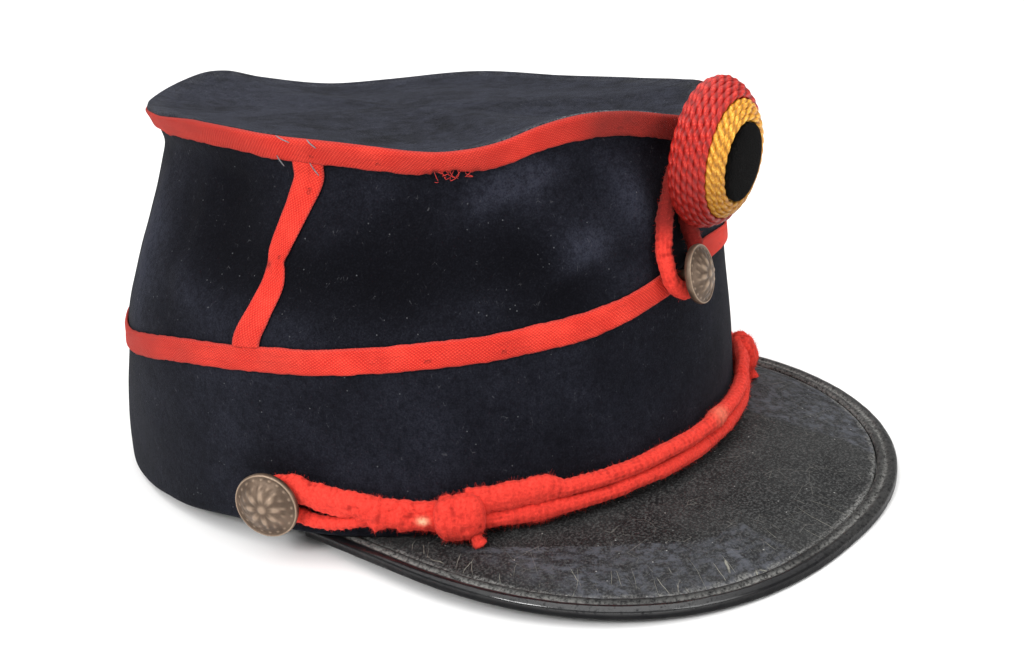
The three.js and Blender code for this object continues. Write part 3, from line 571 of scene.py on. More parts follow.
def navy_wool():
    """Fulled navy wool: painted light on fold ridges and over the top and painted shade in fold hollows, with
    random fading, all from one mark; felted nap, sparse pale lint, and dust where it is marked.
    """
    f = Finish("navy_wool", Specular_IOR_Level=0.06, Sheen_Weight=0.03, Sheen_Roughness=0.4,
               Sheen_Tint=(0.85, 0.9, 1.0, 1.0))
    nap = f.noise(2.1, 6.0, 0.8)
    felt = f.noise(0.55, 4.0, 0.65)
    fade = f.mark("fade")
    # Dark to light by the mark: painted shade in fold hollows, painted light on fold ridges and over the top,
    # and random fading
    tone = f.blend(fade, (0.0018, 0.0018, 0.0032), (0.024, 0.026, 0.039))
    tone = f.blend(nap.step(0.47, 0.63) * (0.1 + 0.42 * fade), tone, (0.036, 0.038, 0.048))
    tone = f.blend(nap.step(0.52, 0.38) * 0.5, tone, (0.0022, 0.0022, 0.0034))
    tone = f.blend(felt.step(0.54, 0.36) * 0.4, tone, (0.0022, 0.0022, 0.0036))
    tone = f.blend(f.mark("dust") * nap.step(0.42, 0.62), tone, (0.17, 0.172, 0.18))
    lucky = f.split(f.cells(0.8, output="Color"), "X") > 0.95
    lint = f.cells(0.8).step(0.18, 0.06) * lucky
    tone = f.blend(lint * 0.26, tone, (0.36, 0.37, 0.39))
    fibre = f.cells(0.5, "DISTANCE_TO_EDGE", at=f.stretch(f.spot, 1.0, 1.0, 0.35)).step(0.03, 0.0)
    tone = f.blend(fibre * felt.step(0.58, 0.7) * 0.4, tone, (0.12, 0.12, 0.13))
    return f.done(tone, 0.9, nap * 0.14 + felt * 0.16)


def red_tape():
    """Woven wool tape: fine twill with pale dots, lengthwise streaks, painted shade along its edges, darker
    where marked (soil, and painted shade in a crease), a painted shadow in the hole of a tear, and a few dark
    stitches.
    """
    f = Finish("red_tape", Specular_IOR_Level=0.15, Sheen_Weight=0.04, Sheen_Roughness=0.5,
               Sheen_Tint=(1.0, 0.5, 0.4, 1.0))
    chart, run, across = f.cloth()
    ribs = ((run + across * 0.9) * (2 * math.pi / 0.85)).sine()
    picks = ((run - across * 1.7) * (2 * math.pi / 1.15)).sine()
    weave = ribs * 0.55 + picks * 0.45
    soil = f.mark("soil")
    worn = f.noise(0.12, 4.0, 0.65)
    streak = f.noise(0.6, 3.0, at=f.stretch(chart, 0.12, 2.4, 1.0))
    tone = f.blend(worn.step(0.35, 0.7), (0.74, 0.034, 0.021), (0.90, 0.056, 0.034))
    tone = f.blend(streak.step(0.5, 0.75) * 0.35, tone, (0.36, 0.014, 0.012))
    tone = f.blend((0.5 - weave * 0.5) * 0.5, tone, (0.34, 0.012, 0.010))
    tone = f.blend(weave.step(0.45, 0.95) * 0.4, tone, (0.95, 0.17, 0.10))
    # Painted shade along both edges of the tape, where it turns down to the cloth
    selvedge = (across - 3.5).size().step(2.9, 3.4)
    tone = f.blend(selvedge * 0.4, tone, (0.40, 0.06, 0.055))
    stitch = (((run / 17.3 + worn * 0.4).fract() - 0.5).size().step(0.045, 0.03)
              * (across - 2.3).size().step(0.5, 0.25))
    stitch = stitch * (f.noise(0.016, 1.0) > 0.52)
    tone = f.blend(stitch * 0.3, tone, (0.12, 0.01, 0.01))
    # Darker where marked: soil, and painted shade in the side tapes' crease
    tone = f.blend(soil * (0.55 + worn * 0.6), tone, (0.19, 0.022, 0.018))
    # Painted shadow of the hole at the tear: near black on the tape where it is torn
    tone = f.blend(f.mark("tear"), tone, (0.022, 0.008, 0.008))
    return f.done(tone, 0.85, weave * 0.1 + f.noise(2.5) * 0.12 - stitch * 0.3)


def black_leather():
    """Lacquered leather: satin black under fine dust, lighter patches that are partly scuffing and partly
    painted reflection, thin pale cracks and specks.
    """
    f = Finish("black_leather", Specular_IOR_Level=0.12)
    chart = f.cloth()[0]
    wobble = f.noise(0.22, 3.0)
    cloud = f.noise(0.06, 3.0)
    grain = f.noise(1.5, 5.0, 0.75)
    patch = f.mark("scuff")
    streak = f.noise(0.3, 5.0, 0.7, at=f.stretch(chart, 1.0, 1.3, 1.0))
    tone = f.blend(cloud.step(0.35, 0.65), (0.007, 0.0072, 0.0076), (0.020, 0.0203, 0.0205))
    tone = f.blend(grain.step(0.44, 0.64) * 0.75, tone, (0.085, 0.086, 0.085))
    # Painted reflection, partly scuffing: the marked patches lighter and bluish grey, in streaks
    tone = f.blend(patch * (0.1 + 0.9 * streak.step(0.42, 0.64)), tone, (0.084, 0.089, 0.104))
    tone = f.blend(f.mark("rim") * grain.step(0.35, 0.7), tone, (0.23, 0.23, 0.22))
    bent = f.node("ShaderNodeVectorMath", {"operation": "ADD"},
                  {0: f.stretch(chart, 2.9, 0.5, 1.0),
                   1: f.stretch(f.noise(0.12, 2.0, output=1), 5.0, 5.0, 0.0)})
    split = (f.cells(0.07, "DISTANCE_TO_EDGE", at=bent).step(0.012, 0.004)
             * f.mark("cracks") * f.noise(0.14).step(0.47, 0.55))
    tone = f.blend(split * 0.9, tone, (0.25, 0.245, 0.21))
    craze = f.cells(0.16, "DISTANCE_TO_EDGE").step(0.012, 0.004) * f.noise(0.1).step(0.5, 0.6)
    tone = f.blend(craze * 0.5, tone, (0.17, 0.165, 0.15))
    speck = f.cells(0.5).step(0.13, 0.05) * (f.split(f.cells(0.5, output="Color"), "Y") > 0.82)
    tone = f.blend(speck * 0.6, tone, (0.5, 0.5, 0.48))
    rough = 0.48 + patch * 0.06 + grain * 0.12
    height = wobble * 0.16 + grain * 0.05 - split * 0.1 + f.mark("crease") * 0.5
    return f.done(tone, rough, height)


def rim_leather():
    """Leather of the peak's binding: glossy on its roll, dusty in its groove."""
    f = Finish("rim_leather", Specular_IOR_Level=0.07, Coat_Roughness=0.16, Coat_IOR=1.65)
    pit = f.noise(1.1, 4.0, 0.7)
    dust = f.noise(0.16, 4.0, 0.6)
    wear = f.mark("wear")
    tone = f.blend(dust.step(0.35, 0.7), (0.005, 0.005, 0.006), (0.010, 0.010, 0.0105))
    tone = f.blend(wear * pit.step(0.3, 0.62), tone, (0.21, 0.208, 0.198))
    return f.done(tone, 0.3 + wear * 0.4 + pit * 0.1, pit * 0.08 + dust * 0.4,
                  Coat_Weight=f.mark("polish") * pit.step(0.25, 0.5))


def red_wool(name="red_wool", pale=(0.86, 0.062, 0.042), deep=(0.34, 0.014, 0.011)):
    """Fuzzy red wool yarn: painted shade, a deeper red, in its hollows; pale bare spots; painted shade where
    marked.
    """
    f = Finish(name, Specular_IOR_Level=0.12, Sheen_Weight=0.12, Sheen_Roughness=0.5,
               Sheen_Tint=(1.0, 0.45, 0.38, 1.0))
    felt = f.noise(1.5, 4.0, 0.65)
    tone = f.blend(felt.step(0.3, 0.7), (pale[0] * 0.78, pale[1] * 0.6, pale[2] * 0.6), pale)
    # Painted shade: deeper red in the hollows of the knit
    tone = f.blend(f.mark("hollow").step(0.5, 1.0) * 0.8, tone, deep)
    tone = f.blend(f.mark("bare"), tone, (0.86, 0.60, 0.36))
    # Painted shade where marked: the loop by the cockade
    tone = f.blend(f.mark("soil"), tone, (0.085, 0.008, 0.008))
    return f.done(tone, 0.9, felt * 0.22 + f.noise(4.0) * 0.1)


def silk(name, pale, deep, bright):
    """Silk cord, glossy: pale painted highlight streaks along the crown of each ply, painted shade between
    the plies, and painted shade where it is marked.
    """
    f = Finish(name, Specular_IOR_Level=0.34)
    strand = f.noise(1.8, 3.0)
    hollow = f.mark("hollow")
    tone = f.blend(strand.step(0.35, 0.7), deep, pale)
    # Painted shade between the plies
    tone = f.blend(hollow.step(0.05, 0.22) * 0.82, tone, tuple(c * 0.45 for c in deep))
    # Painted highlight along the crown of each ply
    tone = f.blend(hollow.step(0.05, 0.0) * strand.step(0.4, 0.6) * 0.6, tone, bright)
    # Painted shade where marked: darker towards the cockade's bottom
    tone = f.blend(f.mark("soil"), tone, tuple(c * 0.4 for c in deep))
    return f.done(tone, 0.36 + strand * 0.12, strand * 0.12)


def black_velvet():
    """Cut velvet: near black with a dense upright pile."""
    f = Finish("black_velvet", Specular_IOR_Level=0.05, Sheen_Weight=0.02, Sheen_Roughness=0.3)
    pile = f.noise(2.4, 4.0, 0.7)
    return f.done(f.blend(pile.step(0.4, 0.8), (0.0012, 0.0012, 0.0014), (0.012, 0.011, 0.010)),
                  0.95, pile * 0.6)


def aged_bronze():
    """Bronze buttons: dark in the hollows, rubbed brighter on the relief, pitted."""
    f = Finish("aged_bronze", Specular_IOR_Level=0.5)
    pit = f.noise(1.4, 4.0, 0.7)
    patina = f.noise(0.25, 3.0)
    rub = f.mark("rub")
    tone = f.blend(patina.step(0.35, 0.7), (0.085, 0.055, 0.036), (0.15, 0.102, 0.070))
    tone = f.blend(rub.step(0.1, 0.8) * (0.55 + pit * 0.5), tone, (0.40, 0.295, 0.212))
    return f.done(tone, 0.44 + pit * 0.14 - rub * 0.08, pit * 0.12, Metallic=0.45 + rub * 0.3)


def loose_thread(name, tone):
    """Pale basting thread and lint."""
    f = Finish(name, Specular_IOR_Level=0.2)
    return f.done(f.blend(f.noise(1.2).step(0.3, 0.7), tone, tuple(c * 0.7 for c in tone)), 0.85)


def studio_floor():
    """Plain pale matt floor with a hardly visible cloud in its tone."""
    f = Finish("studio_floor", Specular_IOR_Level=0.1)
    return f.done(f.blend(f.noise(0.004, 2.0), (0.93, 0.928, 0.925), (0.945, 0.943, 0.94)), 0.9)


NAVY, TAPE, LEATHER, RIM = navy_wool(), red_tape(), black_leather(), rim_leather()
CORD, BRONZE, VELVET = red_wool(), aged_bronze(), black_velvet()
# Each silk's colours: pale and deep strand tones, then its painted highlight
SILK_RED = silk("red_silk", (0.56, 0.019, 0.011), (0.38, 0.011, 0.008), (0.78, 0.075, 0.046))
SILK_YELLOW = silk("yellow_silk", (0.88, 0.43, 0.036), (0.60, 0.23, 0.015), (1.0, 0.72, 0.15))
PALE = loose_thread("pale_thread", (0.22, 0.225, 0.235))

RINGS = np.linspace(-180, 180, 540, endpoint=False)[:, None]


def wall(point, outer, inner, edge, folds=0.0):
    """Closed wall round the head: up its outer face, over, and down its inner face, edges rounded."""
    shares = np.concatenate([outer, inner[::-1]])[None]
    tucked = np.concatenate([np.zeros(len(outer)), np.full(len(inner), -WOOL)])[None]
    end = np.minimum(shares, 1 - shares)
    round_off = edge * np.clip(1 - end / 0.02, 0, 1) ** 2
    tucked = np.where(tucked < 0, tucked + round_off, tucked - round_off)
    grid = point(RINGS, shares, tucked)
    # Mark of painted light and shade: folds sets how much fold ridges read lighter and fold hollows darker;
    # the mottle is random fading
    stretched = (folds * fold_depth(RINGS, grid[..., 2])
                 + 0.45 * mottle(grid, 17, 26) + 0.35 * mottle(grid, 6, 27))
    return skin(grid, (1, 1), fade=np.clip(0.29 * np.exp(stretched), 0, 1))


make("wool_band", [wall(band_point, np.linspace(0, 1, 56), np.linspace(0, 1, 16), 0.5)],
     NAVY, "navy_wool", "band")
crown_wall = wall(crown_point, np.linspace(0, 1, 72), np.linspace(0, 1, 22), 0.2, 0.8)
make("wool_crown_side", [crown_wall], NAVY, "navy_wool", "crown_side")

# The top's cloth from its middle out, rolled over its edge, and back underneath
TOP_EDGE = np.array([
    (0.978, -0.1, 0.02), (0.984, -0.3, 0.05), (0.99, -0.42, 0.12), (0.996, -0.36, 0.3), (1.001, -0.1, 0.55),
    (1.005, 0.4, 0.8), (1.004, 1.0, 1), (0.996, 1.7, 1), (0.98, 2.2, 0.6)])
top_rows = np.concatenate([
    np.column_stack([np.linspace(0.03, 0.972, 60), np.zeros(60), np.zeros(60)]), TOP_EDGE,
    np.column_stack([np.linspace(0.95, 0.05, 16), np.full(16, TOP), np.zeros(16)])])


def puff(angle):
    """How far the top's cloth hangs over its edge: two millimetres on the wearer's right, behind."""
    return 2.0 * smooth((angle - 90) / 22) * smooth((172 - angle) / 20)


grid = top_point(RINGS.T, top_rows[:, :1], top_rows[:, 1:2] + top_rows[:, 2:] * puff(RINGS.T))
near_edge = smooth((top_rows[:, :1] - 0.9) / 0.07) * (top_rows[:, 1:2] < 1)
dusty = 0.75 * np.exp(-((RINGS.T - 12) / 18) ** 2) + 0.2
dust = np.clip(near_edge * dusty * (0.8 + 0.7 * mottle(grid, 3, 22)) + 0.05, 0, 1)
# Painted light: the top's mark is set high so the whole top reads lighter, mottled by random fading
fade = 0.72 + 0.3 * mottle(grid, 19, 28) + 0.2 * mottle(grid, 5, 29) + 0.4 * mottle(grid, 2.4, 33)
make("wool_crown_top", [skin(grid, (0, 1), True, dust=dust, fade=np.clip(fade, 0, 1.3))],
     NAVY, "navy_wool", "crown_top")


def tape_rings(face, angles, width, count=16):
    """A tape round the head: its outer face across the width, then its back, edges rounded."""
    across = np.concatenate([np.linspace(0, 1, count), np.linspace(1, 0, 6)])[None]
    outer = np.concatenate([np.ones(count), np.zeros(6)])[None]
    thin = np.concatenate([1 - np.abs(np.linspace(-1, 1, count)) ** 8 * 0.6, np.zeros(6)])[None]
    wide = np.append(across[0], across[0, 0]) * width
    chart = np.stack(np.broadcast_arrays(np.linspace(0, 540, len(angles) + 1)[:, None], wide[None]), -1)
    return face(angles, across, outer * thin), chart


def band_tape_face(angle, across, thick):
    """Half on the band and half on the crown's side, lifted clear and a little wavy."""
    wave = 0.35 * mottle(np.stack(np.broadcast_arrays(angle * 1.5, 0, 0), -1), 13, 5)
    ragged = 0.14 * mottle(np.stack(np.broadcast_arrays(angle * 1.5, across * 9, 0), -1), 1.5, 23)
    offset = (across - 0.5) * (TAPE_WIDTH - 0.6) + wave + ragged
    lift = 0.35 + 0.85 * thick
    low = band_point(angle, np.clip(1 + offset / seam_height(angle), 0, 1), lift)
    high = crown_point(angle, np.clip(offset / (rim_height(angle) - seam_height(angle)), 0, 1), lift)
    share = smooth((offset + 0.6) / 1.2)[..., None]
    return low + (high - low) * share


# The band's tape starts and ends behind the cockade's loop
band_turn = np.mod(np.linspace(-5.5, -359.6, 560)[:, None] + 180, 360) - 180
grid, chart = tape_rings(band_tape_face, band_turn, TAPE_WIDTH)
soil = 0.62 * smooth((band_turn - 60) / 40) * smooth((180 - band_turn) / 40)
soil = soil + 0.3 * np.exp(-((band_turn + 12) / 9) ** 2)
soil = np.clip(soil + 0.2 * mottle(grid, 9, 8) + 0.07, 0, 1)
make("tape_band_woven", [skin(grid, (0, 1), True, chart[:-1], soil=soil)], TAPE, "red_tape", "tape_band")

TEAR_ANGLE, TEAR_HALF = 41.5, 4.6


def torn(angle):
    """Share of the torn tape at an angle: a bell with a ragged edge."""
    ragged = mottle(np.stack(np.broadcast_arrays(angle * 1.5, 3, 0), -1), 1.1, 4)
    return np.clip(np.exp(-((angle - TEAR_ANGLE) / TEAR_HALF) ** 2) * (1 + 0.5 * ragged), 0, 1)


def crown_tape_face(angle, across, thick):
    """Just under the crown's rolled edge and down its side, leaning in; torn in one place below."""
    ragged = 0.25 * mottle(np.stack(np.broadcast_arrays(angle * 1.5, across * 3, 0), -1), 6, 6)
    ragged = ragged + 0.14 * mottle(np.stack(np.broadcast_arrays(angle * 1.5, across * 9, 0), -1), 1.4, 24)
    drop = (6.4 - 0.7 * np.exp(-((angle - 57) / 11) ** 2) - across * 6.2
            - 2.6 * torn(angle) * smooth(0.6 - across) + ragged * (1.2 - across)
            + puff(angle) * (0.3 + 0.6 * across))
    lean = TAPE_BEVEL * smooth((drop - 0.2) / 6.8)
    over = 0.4 * np.clip(1 - drop / 1.2, 0, 1) ** 2
    inset = lean + over + 0.85 * (1 - thick)
    return oval_point(EDGE_OVAL, angle, rim_height(angle) - drop, nose(angle) - inset)


grid, chart = tape_rings(crown_tape_face, RINGS, TAPE_WIDTH)
across = chart[:-1, :-1, 1] / TAPE_WIDTH
# Painted shadow of the hole: on the tape's lower part round the tear
tear = torn(RINGS) * smooth(1 - across * 2.4) * smooth(0.9 + mottle(grid, 1.6, 7))
# Darker across the front and just to the wearer's left, less so from the wearer's right round to the back,
# and a little all over
soil = 0.9 * smooth((21 - RINGS) / 16) * smooth((RINGS + 60) / 30)
soil = soil + 0.35 * smooth((RINGS - 66) / 30) * smooth((180 - RINGS) / 40)
soil = np.clip(soil + 0.32 + 0.25 * mottle(grid, 8, 9), 0, 1)
make("tape_crown_edge_woven", [skin(grid, (1, 1), False, chart, soil=soil, tear=tear)],
     TAPE, "red_tape", "tape_crown_edge")


def side_tape(side):
    """Tape up the crown's side: across its width and over its thickness, pinched at a crease."""
    rises = np.linspace(0.06, 0.955, 110)[:, None]
    middle = curve(SIDE_TAPE[:, 0], SIDE_TAPE[:, 1], rises)
    width = curve(SIDE_TAPE[:, 0], SIDE_TAPE[:, 2], rises)
    across = np.concatenate([np.linspace(-0.5, 0.5, 14), np.linspace(0.5, -0.5, 5)])[None]
    outer = np.concatenate([1 - np.abs(np.linspace(-1, 1, 14)) ** 6 * 0.6, np.zeros(5)])[None]
    ripple = 0.4 * np.exp(-((rises - 0.42) / 0.03) ** 2) * np.cos(across * 9)
    width = width + 0.4 * mottle(np.stack([rises * 50, rises, rises], -1), 4, 11)
    angle = side * middle + across * width / math.radians(SEAM_OVAL[0])
    grid = crown_point(angle, rises, 0.4 + (0.75 + ripple) * outer)
    wide = np.append(across[0], across[0, 0]) * 7 + 3.5
    chart = np.stack(np.broadcast_arrays(rises * 50, wide[None]), -1)
    # Painted shade in the pinched crease over one half of the tape's width, and darker towards the bottom
    soil = (0.2 * smooth((0.3 - rises) * 4)
            + 0.8 * np.exp(-((rises - 0.43) / 0.02) ** 2) * smooth(across * 8 - 1.5))
    return skin(grid, (0, 1), True, chart, soil=np.clip(soil, 0, 1))


make("tape_side_right_woven", [side_tape(1)], TAPE, "red_tape", "tape_side_right")
make("tape_side_left_woven", [side_tape(-1)], TAPE, "red_tape", "tape_side_left")


def peak_skin():
    """Peak's two faces: a grid from corner to corner and from the band out to the binding."""
    spots = np.linspace(-1, 1, 440)[:, None]
    out = np.concatenate([np.linspace(0, 1, 120), np.linspace(1, 0, 24)])[None]
    drop = np.concatenate([np.zeros(120), np.full(24, 2.0)])[None]
    grid = peak_point(spots, out, drop)
    grid[..., 2] += np.where(drop == 0, 0.2 * mottle(grid, 11, 12), 0) * smooth((1 - out) * 12)
    x, y = grid[..., 0], grid[..., 1]
    rim_x, rim_y = peak_edge(spots, BINDING_WIDTH + GAP)
    gap = np.hypot(x - rim_x, y - rim_y)
    ragged = 0.5 * mottle(grid, 6, 14) + 0.35 * mottle(grid, 2, 15)
    # Painted reflection, partly scuffing: a patch along the front on the wearer's right behind a crisp line,
    # and a broad lighter area on the wearer's left
    front = smooth((curve(SCUFF_EDGE[:, 0], SCUFF_EDGE[:, 1], x) + ragged - y) / 0.8)
    scuff = front * smooth((ragged - 12.6 - x) / 0.8) * smooth((x + 68) / 12)
    scuff = np.clip(scuff * (0.75 + 0.4 * mottle(grid, 5, 16)), 0, 1)
    scuff = np.maximum(scuff, 0.85 * smooth((x - 40 + 0.1 * (y + 105) + 2 * ragged) / 1.2)
                       * (0.85 + 0.4 * mottle(grid, 4, 30)))
    rim = np.clip(smooth((1.8 + 1.0 * mottle(grid, 3, 17) - gap) / 1.6)
                  * (0.8 + 0.4 * mottle(grid, 9, 25)), 0, 1)
    cracks = smooth((13 - gap) / 5) * smooth((20 - x) / 20) * smooth((x + 78) / 12)
    lines = np.sin((x + 0.16 * y) * 0.62 + 1.5 * mottle(grid, 14, 18)) ** 8
    crease = lines * smooth((x - 34) / 12) * np.clip(0.55 + mottle(grid, 9, 19), 0, 1)
    chart = np.zeros((440, 145, 2))
    chart[:, :-1, 1], chart[:, -1, 1] = gap, gap[:, 0]
    chart[..., 0] = np.linspace(0, 250, 440)[:, None] + 1.15 * spots * (1.2 - np.abs(spots)) * chart[..., 1]
    return skin(grid, (0, 1), True, chart, scuff=scuff, cracks=cracks, crease=crease, rim=rim)


make("lacquered_peak", [peak_skin()], LEATHER, "black_leather", "peak")


def binding_skin():
    """Binding: its closed outline, rounded by a cubic, carried along the peak's edge."""
    spots = np.linspace(-1, 1, 320)
    laps = np.concatenate([BINDING_PROFILE[-2:], BINDING_PROFILE, BINDING_PROFILE[:3]])
    turns = np.linspace(2, len(BINDING_PROFILE) + 2, 44, endpoint=False)
    inset, up = curve(np.arange(len(laps)), laps, turns).T
    inset = np.clip(inset, 0.25, BINDING_WIDTH)
    x, y = peak_edge(spots[:, None], inset[None], BINDING_CORNER)
    rubbed = 0.06 * mottle(np.stack(np.broadcast_arrays(x, y, up[None] * 2), -1), 2.2, 20)
    height = np.maximum(peak_edge_height(y) + up[None] + rubbed, REST_SLOPE * (y - 99) + 0.02)
    groove = ((np.exp(-((inset - 3.2) / 0.7) ** 2) + 0.6 * np.exp(-((inset - 5.2) / 0.6) ** 2))[None]
              * (up > 0.3)[None])
    dusty = 0.14 * smooth((x + 25) / 40) * (up > 0.5)[None]
    wear = np.clip(dusty + groove * (
        0.9 + 0.6 * mottle(np.stack(np.broadcast_arrays(x, y, 0), -1), 14, 21)), 0, 1)
    chart = np.stack(np.broadcast_arrays(np.linspace(0, 320, 320)[:, None], np.linspace(0, 20, 45)[None]), -1)
    polish = (smooth((2.6 - inset) / 1.0)[None] * smooth(up / 0.9)[None]
              * (0.2 + np.exp(-((x + 58) / 16) ** 2)))
    return skin(np.stack([x, y, height], -1), (0, 1), True, chart, wear=wear, polish=np.clip(polish, 0, 1))


make("rolled_binding", [binding_skin()], RIM, "black_leather", "peak_binding")


def band_side(angle, height, stand):
    """Points beside the band's foot oval at a height, standing off its face."""
    return oval_point(FOOT_OVAL, angle, height, stand)


def chin_strand(height, seed, worn, thick):
    """One strand of the chin cord between the knots, lumpy and thicker by the knots, frayed at one place."""
    reach = KNOT_ANGLE - 1.2
    angle = np.linspace(reach, -reach, 440)
    by_knot = smooth((np.abs(angle) - 25) / 4)
    frayed = np.exp(-((angle - worn) / 2.4) ** 2)
    wander = 0.25 * mottle(np.stack([angle, angle * 0, angle * 0], -1), 6, seed) + 0.7 * thick * by_knot
    path = band_side(angle, height + wander, CORD_STAND)
    lump = 0.12 * mottle(path, 5, seed + 2) + by_knot * 0.42 * mottle(path, 2.4, seed + 3)
    tall = CORD_RADIUS + lump + thick * by_knot + 0.7 * frayed
    body, grid, out = knitted(path, CORD_RADIUS + lump + 0.4 * frayed, tall, rough=0.09, seed=seed)
    spot = band_side(np.array([worn]), height + 1.2, CORD_STAND + 1.6)
    body["marks"]["bare"] = 0.22 * (worn < 0) * np.exp(-np.sum((body["points"] - spot) ** 2, -1) / 9)
    lively = np.repeat((by_knot + frayed)[:, None] + 0.02, 30, 1)
    return [body, fuzz(grid, out, 3600, 0.5), fuzz(grid, out, 1400, 0.75, 0.024, lively)]


make("chin_cord_upper_knit", chin_strand(CORD_UPPER, 31, -9.0, 1.4), CORD, "red_cord", "chin_cord_upper")
make("chin_cord_lower_knit", chin_strand(CORD_LOWER, 41, 30.0, 0.2), CORD, "red_cord", "chin_cord_lower")


def end_height(angle):
    """Middle of the looped end, climbing from the knot to the side button."""
    share = smooth((angle - KNOT_ANGLE) / (SIDE_ANGLE - KNOT_ANGLE))
    return KNOT_HEIGHT + (SIDE_HEIGHT - KNOT_HEIGHT) * share


def chin_end(side):
    """Looped end: out along the upper leg, round the shank and back, with a bound, lumpy sleeve."""
    turn_radius = 3.6
    share = np.linspace(0, 1, 7)
    angle = KNOT_ANGLE + 3.2 + (SIDE_ANGLE - 3 - KNOT_ANGLE - 3.2) * share
    spread = 2.2 + (turn_radius - 2.2) * smooth(share * 3 - 1.6)
    sag = 1.7 * smooth((angle - 54) / 5) * (1 - 0.7 * smooth((angle - 63) / 4))
    legs = [band_side(side * angle, end_height(angle) + sign * spread - sag, END_STAND) for sign in (1, -1)]
    bend = np.radians([60, 30, 0, -30, -60])
    loop_angle = SIDE_ANGLE + turn_radius * np.cos(bend) / math.radians(FOOT_OVAL[0])
    loop = band_side(side * loop_angle, SIDE_HEIGHT + turn_radius * np.sin(bend), END_STAND)
    path = along(np.concatenate([legs[0], loop, legs[1][::-1]]), 0.3)
    out = unit(path * [1, 1, 0])
    run = np.linspace(0, 1, len(path))
    leg = 1.6 + 1.9 * smooth((run - 0.12) / 0.13) * smooth((0.48 - run) / 0.1)
    body, grid, away = knitted(path, leg * (1 + 0.1 * mottle(path, 3, 57)), np.minimum(leg, 2.1),
                               up=out, rough=0.2, seed=51)
    turns = np.linspace(43.2, 59.5, 140)
    middle = band_side(side * turns, end_height(turns) - 0.5, 2.5)
    lump = 1 + 0.36 * mottle(middle, 2.6, 54) + 0.16 * mottle(middle, 5, 55)
    taper = 0.7 + 0.3 * smooth((59.5 - turns) / 5)
    sleeve, sleeve_grid, sleeve_out = knitted(
        middle, 2.2 * lump * taper, 3.2 * lump * taper, rough=0.32, seed=56)
    spot = band_side(side * 47.4, 6.4, 4.8)
    away_from_spot = ((sleeve["points"] - spot) / [1.1, 1.6, 0.8]) ** 2
    sleeve["marks"]["bare"] = np.exp(-np.sum(away_from_spot, -1)) * (side > 0)
    return [body, sleeve, fuzz(grid, away, 2200), fuzz(sleeve_grid, sleeve_out, 3000, 0.75, 0.024)]


def knot(side):
    """Knot: a rounded barrel along the band with the small stitches of the knitted cord."""
    turns = np.linspace(-1, 1, 70)
    middle = band_side(side * (KNOT_ANGLE + turns * 3.8), KNOT_HEIGHT + 0.2, 4.3)
    swell = np.sqrt(np.clip(1 - np.abs(turns) ** 4.4, 0.03, 1)) * (1 + 0.08 * mottle(middle, 4, 62))
    body, grid, out = knitted(middle, 4.0 * swell, 5.8 * swell, sides=60, rough=0.24, seed=61)
    nub_path = along(band_side(side * np.array([40.3, 39.9, 39.6]), np.array([2.6, 0.6, -0.6]),
                               np.array([5.5, 6.2, 6.4])), 0.2)
    nub, nub_grid, nub_out = knitted(nub_path, 1.25 + 0.5 * np.linspace(0, 1, len(nub_path)),
                                     sides=18, up=(0, 1, 0), seed=64)
    return [body, nub, fuzz(grid, out, 2600, 0.65), fuzz(nub_grid, nub_out, 300)]


for name, side in (("right", 1), ("left", -1)):
    make(f"chin_cord_end_{name}_knit", chin_end(side), CORD, "red_cord", f"chin_cord_end_{name}")
    make(f"chin_cord_knot_{name}_knit", knot(side), CORD, "red_cord", f"chin_cord_knot_{name}")


def button(middle, facing, radius, shank):
    """Domed button: a half-section turned about its axis, with a bead border and a rosette."""
    share = np.concatenate([
        [0.1, 0.19, 0.19, 0.2], np.linspace(0.3, 0.97, 6), np.linspace(1.0, 0.02, 64)])[:, None]
    table = np.array([
        (0, 2.8), (0.32, 2.5), (0.62, 1.7), (0.84, 0.55), (0.9, 0.5), (0.95, 0.7), (0.98, 0.55), (1, 0)])
    theta = np.linspace(0, 2 * np.pi, 144, endpoint=False)[None]
    face = curve(table[:, 0], table[:, 1], share)
    height = np.concatenate([np.array([-shank, -shank, -1.8, -1.6]), np.linspace(-1.5, -0.9, 6)])
    height = np.concatenate([height[:, None], face[10:]])
    beads = np.maximum(np.cos(theta * 20), -0.3) * np.exp(-((share - 0.84) / 0.035) ** 2)
    petals = ((0.5 + 0.5 * np.cos(theta * 8))
              * np.exp(-((share - 0.36 - 0.06 * np.cos(theta * 8)) / 0.13) ** 2))
    leaves = np.cos(theta * 16 + share * 9) * np.exp(-((share - 0.63) / 0.07) ** 2)
    boss = np.exp(-(share / 0.13) ** 4)
    relief = 0.2 * beads + 0.3 * petals + 0.14 * leaves + 0.25 * boss
    relief[:10] = 0
    facing = unit(np.asarray(facing, float))
    side = unit(np.cross((0, 0, 1), facing))
    high = np.cross(facing, side)
    across = share * radius
    worn = 0.04 * mottle(np.stack(np.broadcast_arrays(
        across * np.cos(theta), across * np.sin(theta), height), -1), 1.2, 71)
    ring = np.cos(theta)[..., None] * side + np.sin(theta)[..., None] * high
    grid = middle + across[..., None] * ring + (height + relief + worn)[..., None] * facing
    rub = np.clip(relief * 2.2 + 0.8 * np.exp(-((share - 0.96) / 0.02) ** 2) + 0.15, 0, 1)
    rub[:10] = 0
    return skin(grid, (0, 1), True, rub=rub)


for name, side in (("right", 1), ("left", -1)):
    middle = band_side(side * SIDE_ANGLE, SIDE_HEIGHT, SIDE_STAND)
    facing = (-side * math.sin(SIDE_TURN), -math.cos(SIDE_TURN), 0)
    make(f"button_{name}_chased", [button(middle, facing, *SIDE_SIZE)],
         BRONZE, "aged_bronze", f"button_{name}")
make("button_front_chased", [button(FRONT_BUTTON, FRONT_FACING, *FRONT_SIZE)],
     BRONZE, "aged_bronze", "button_front")

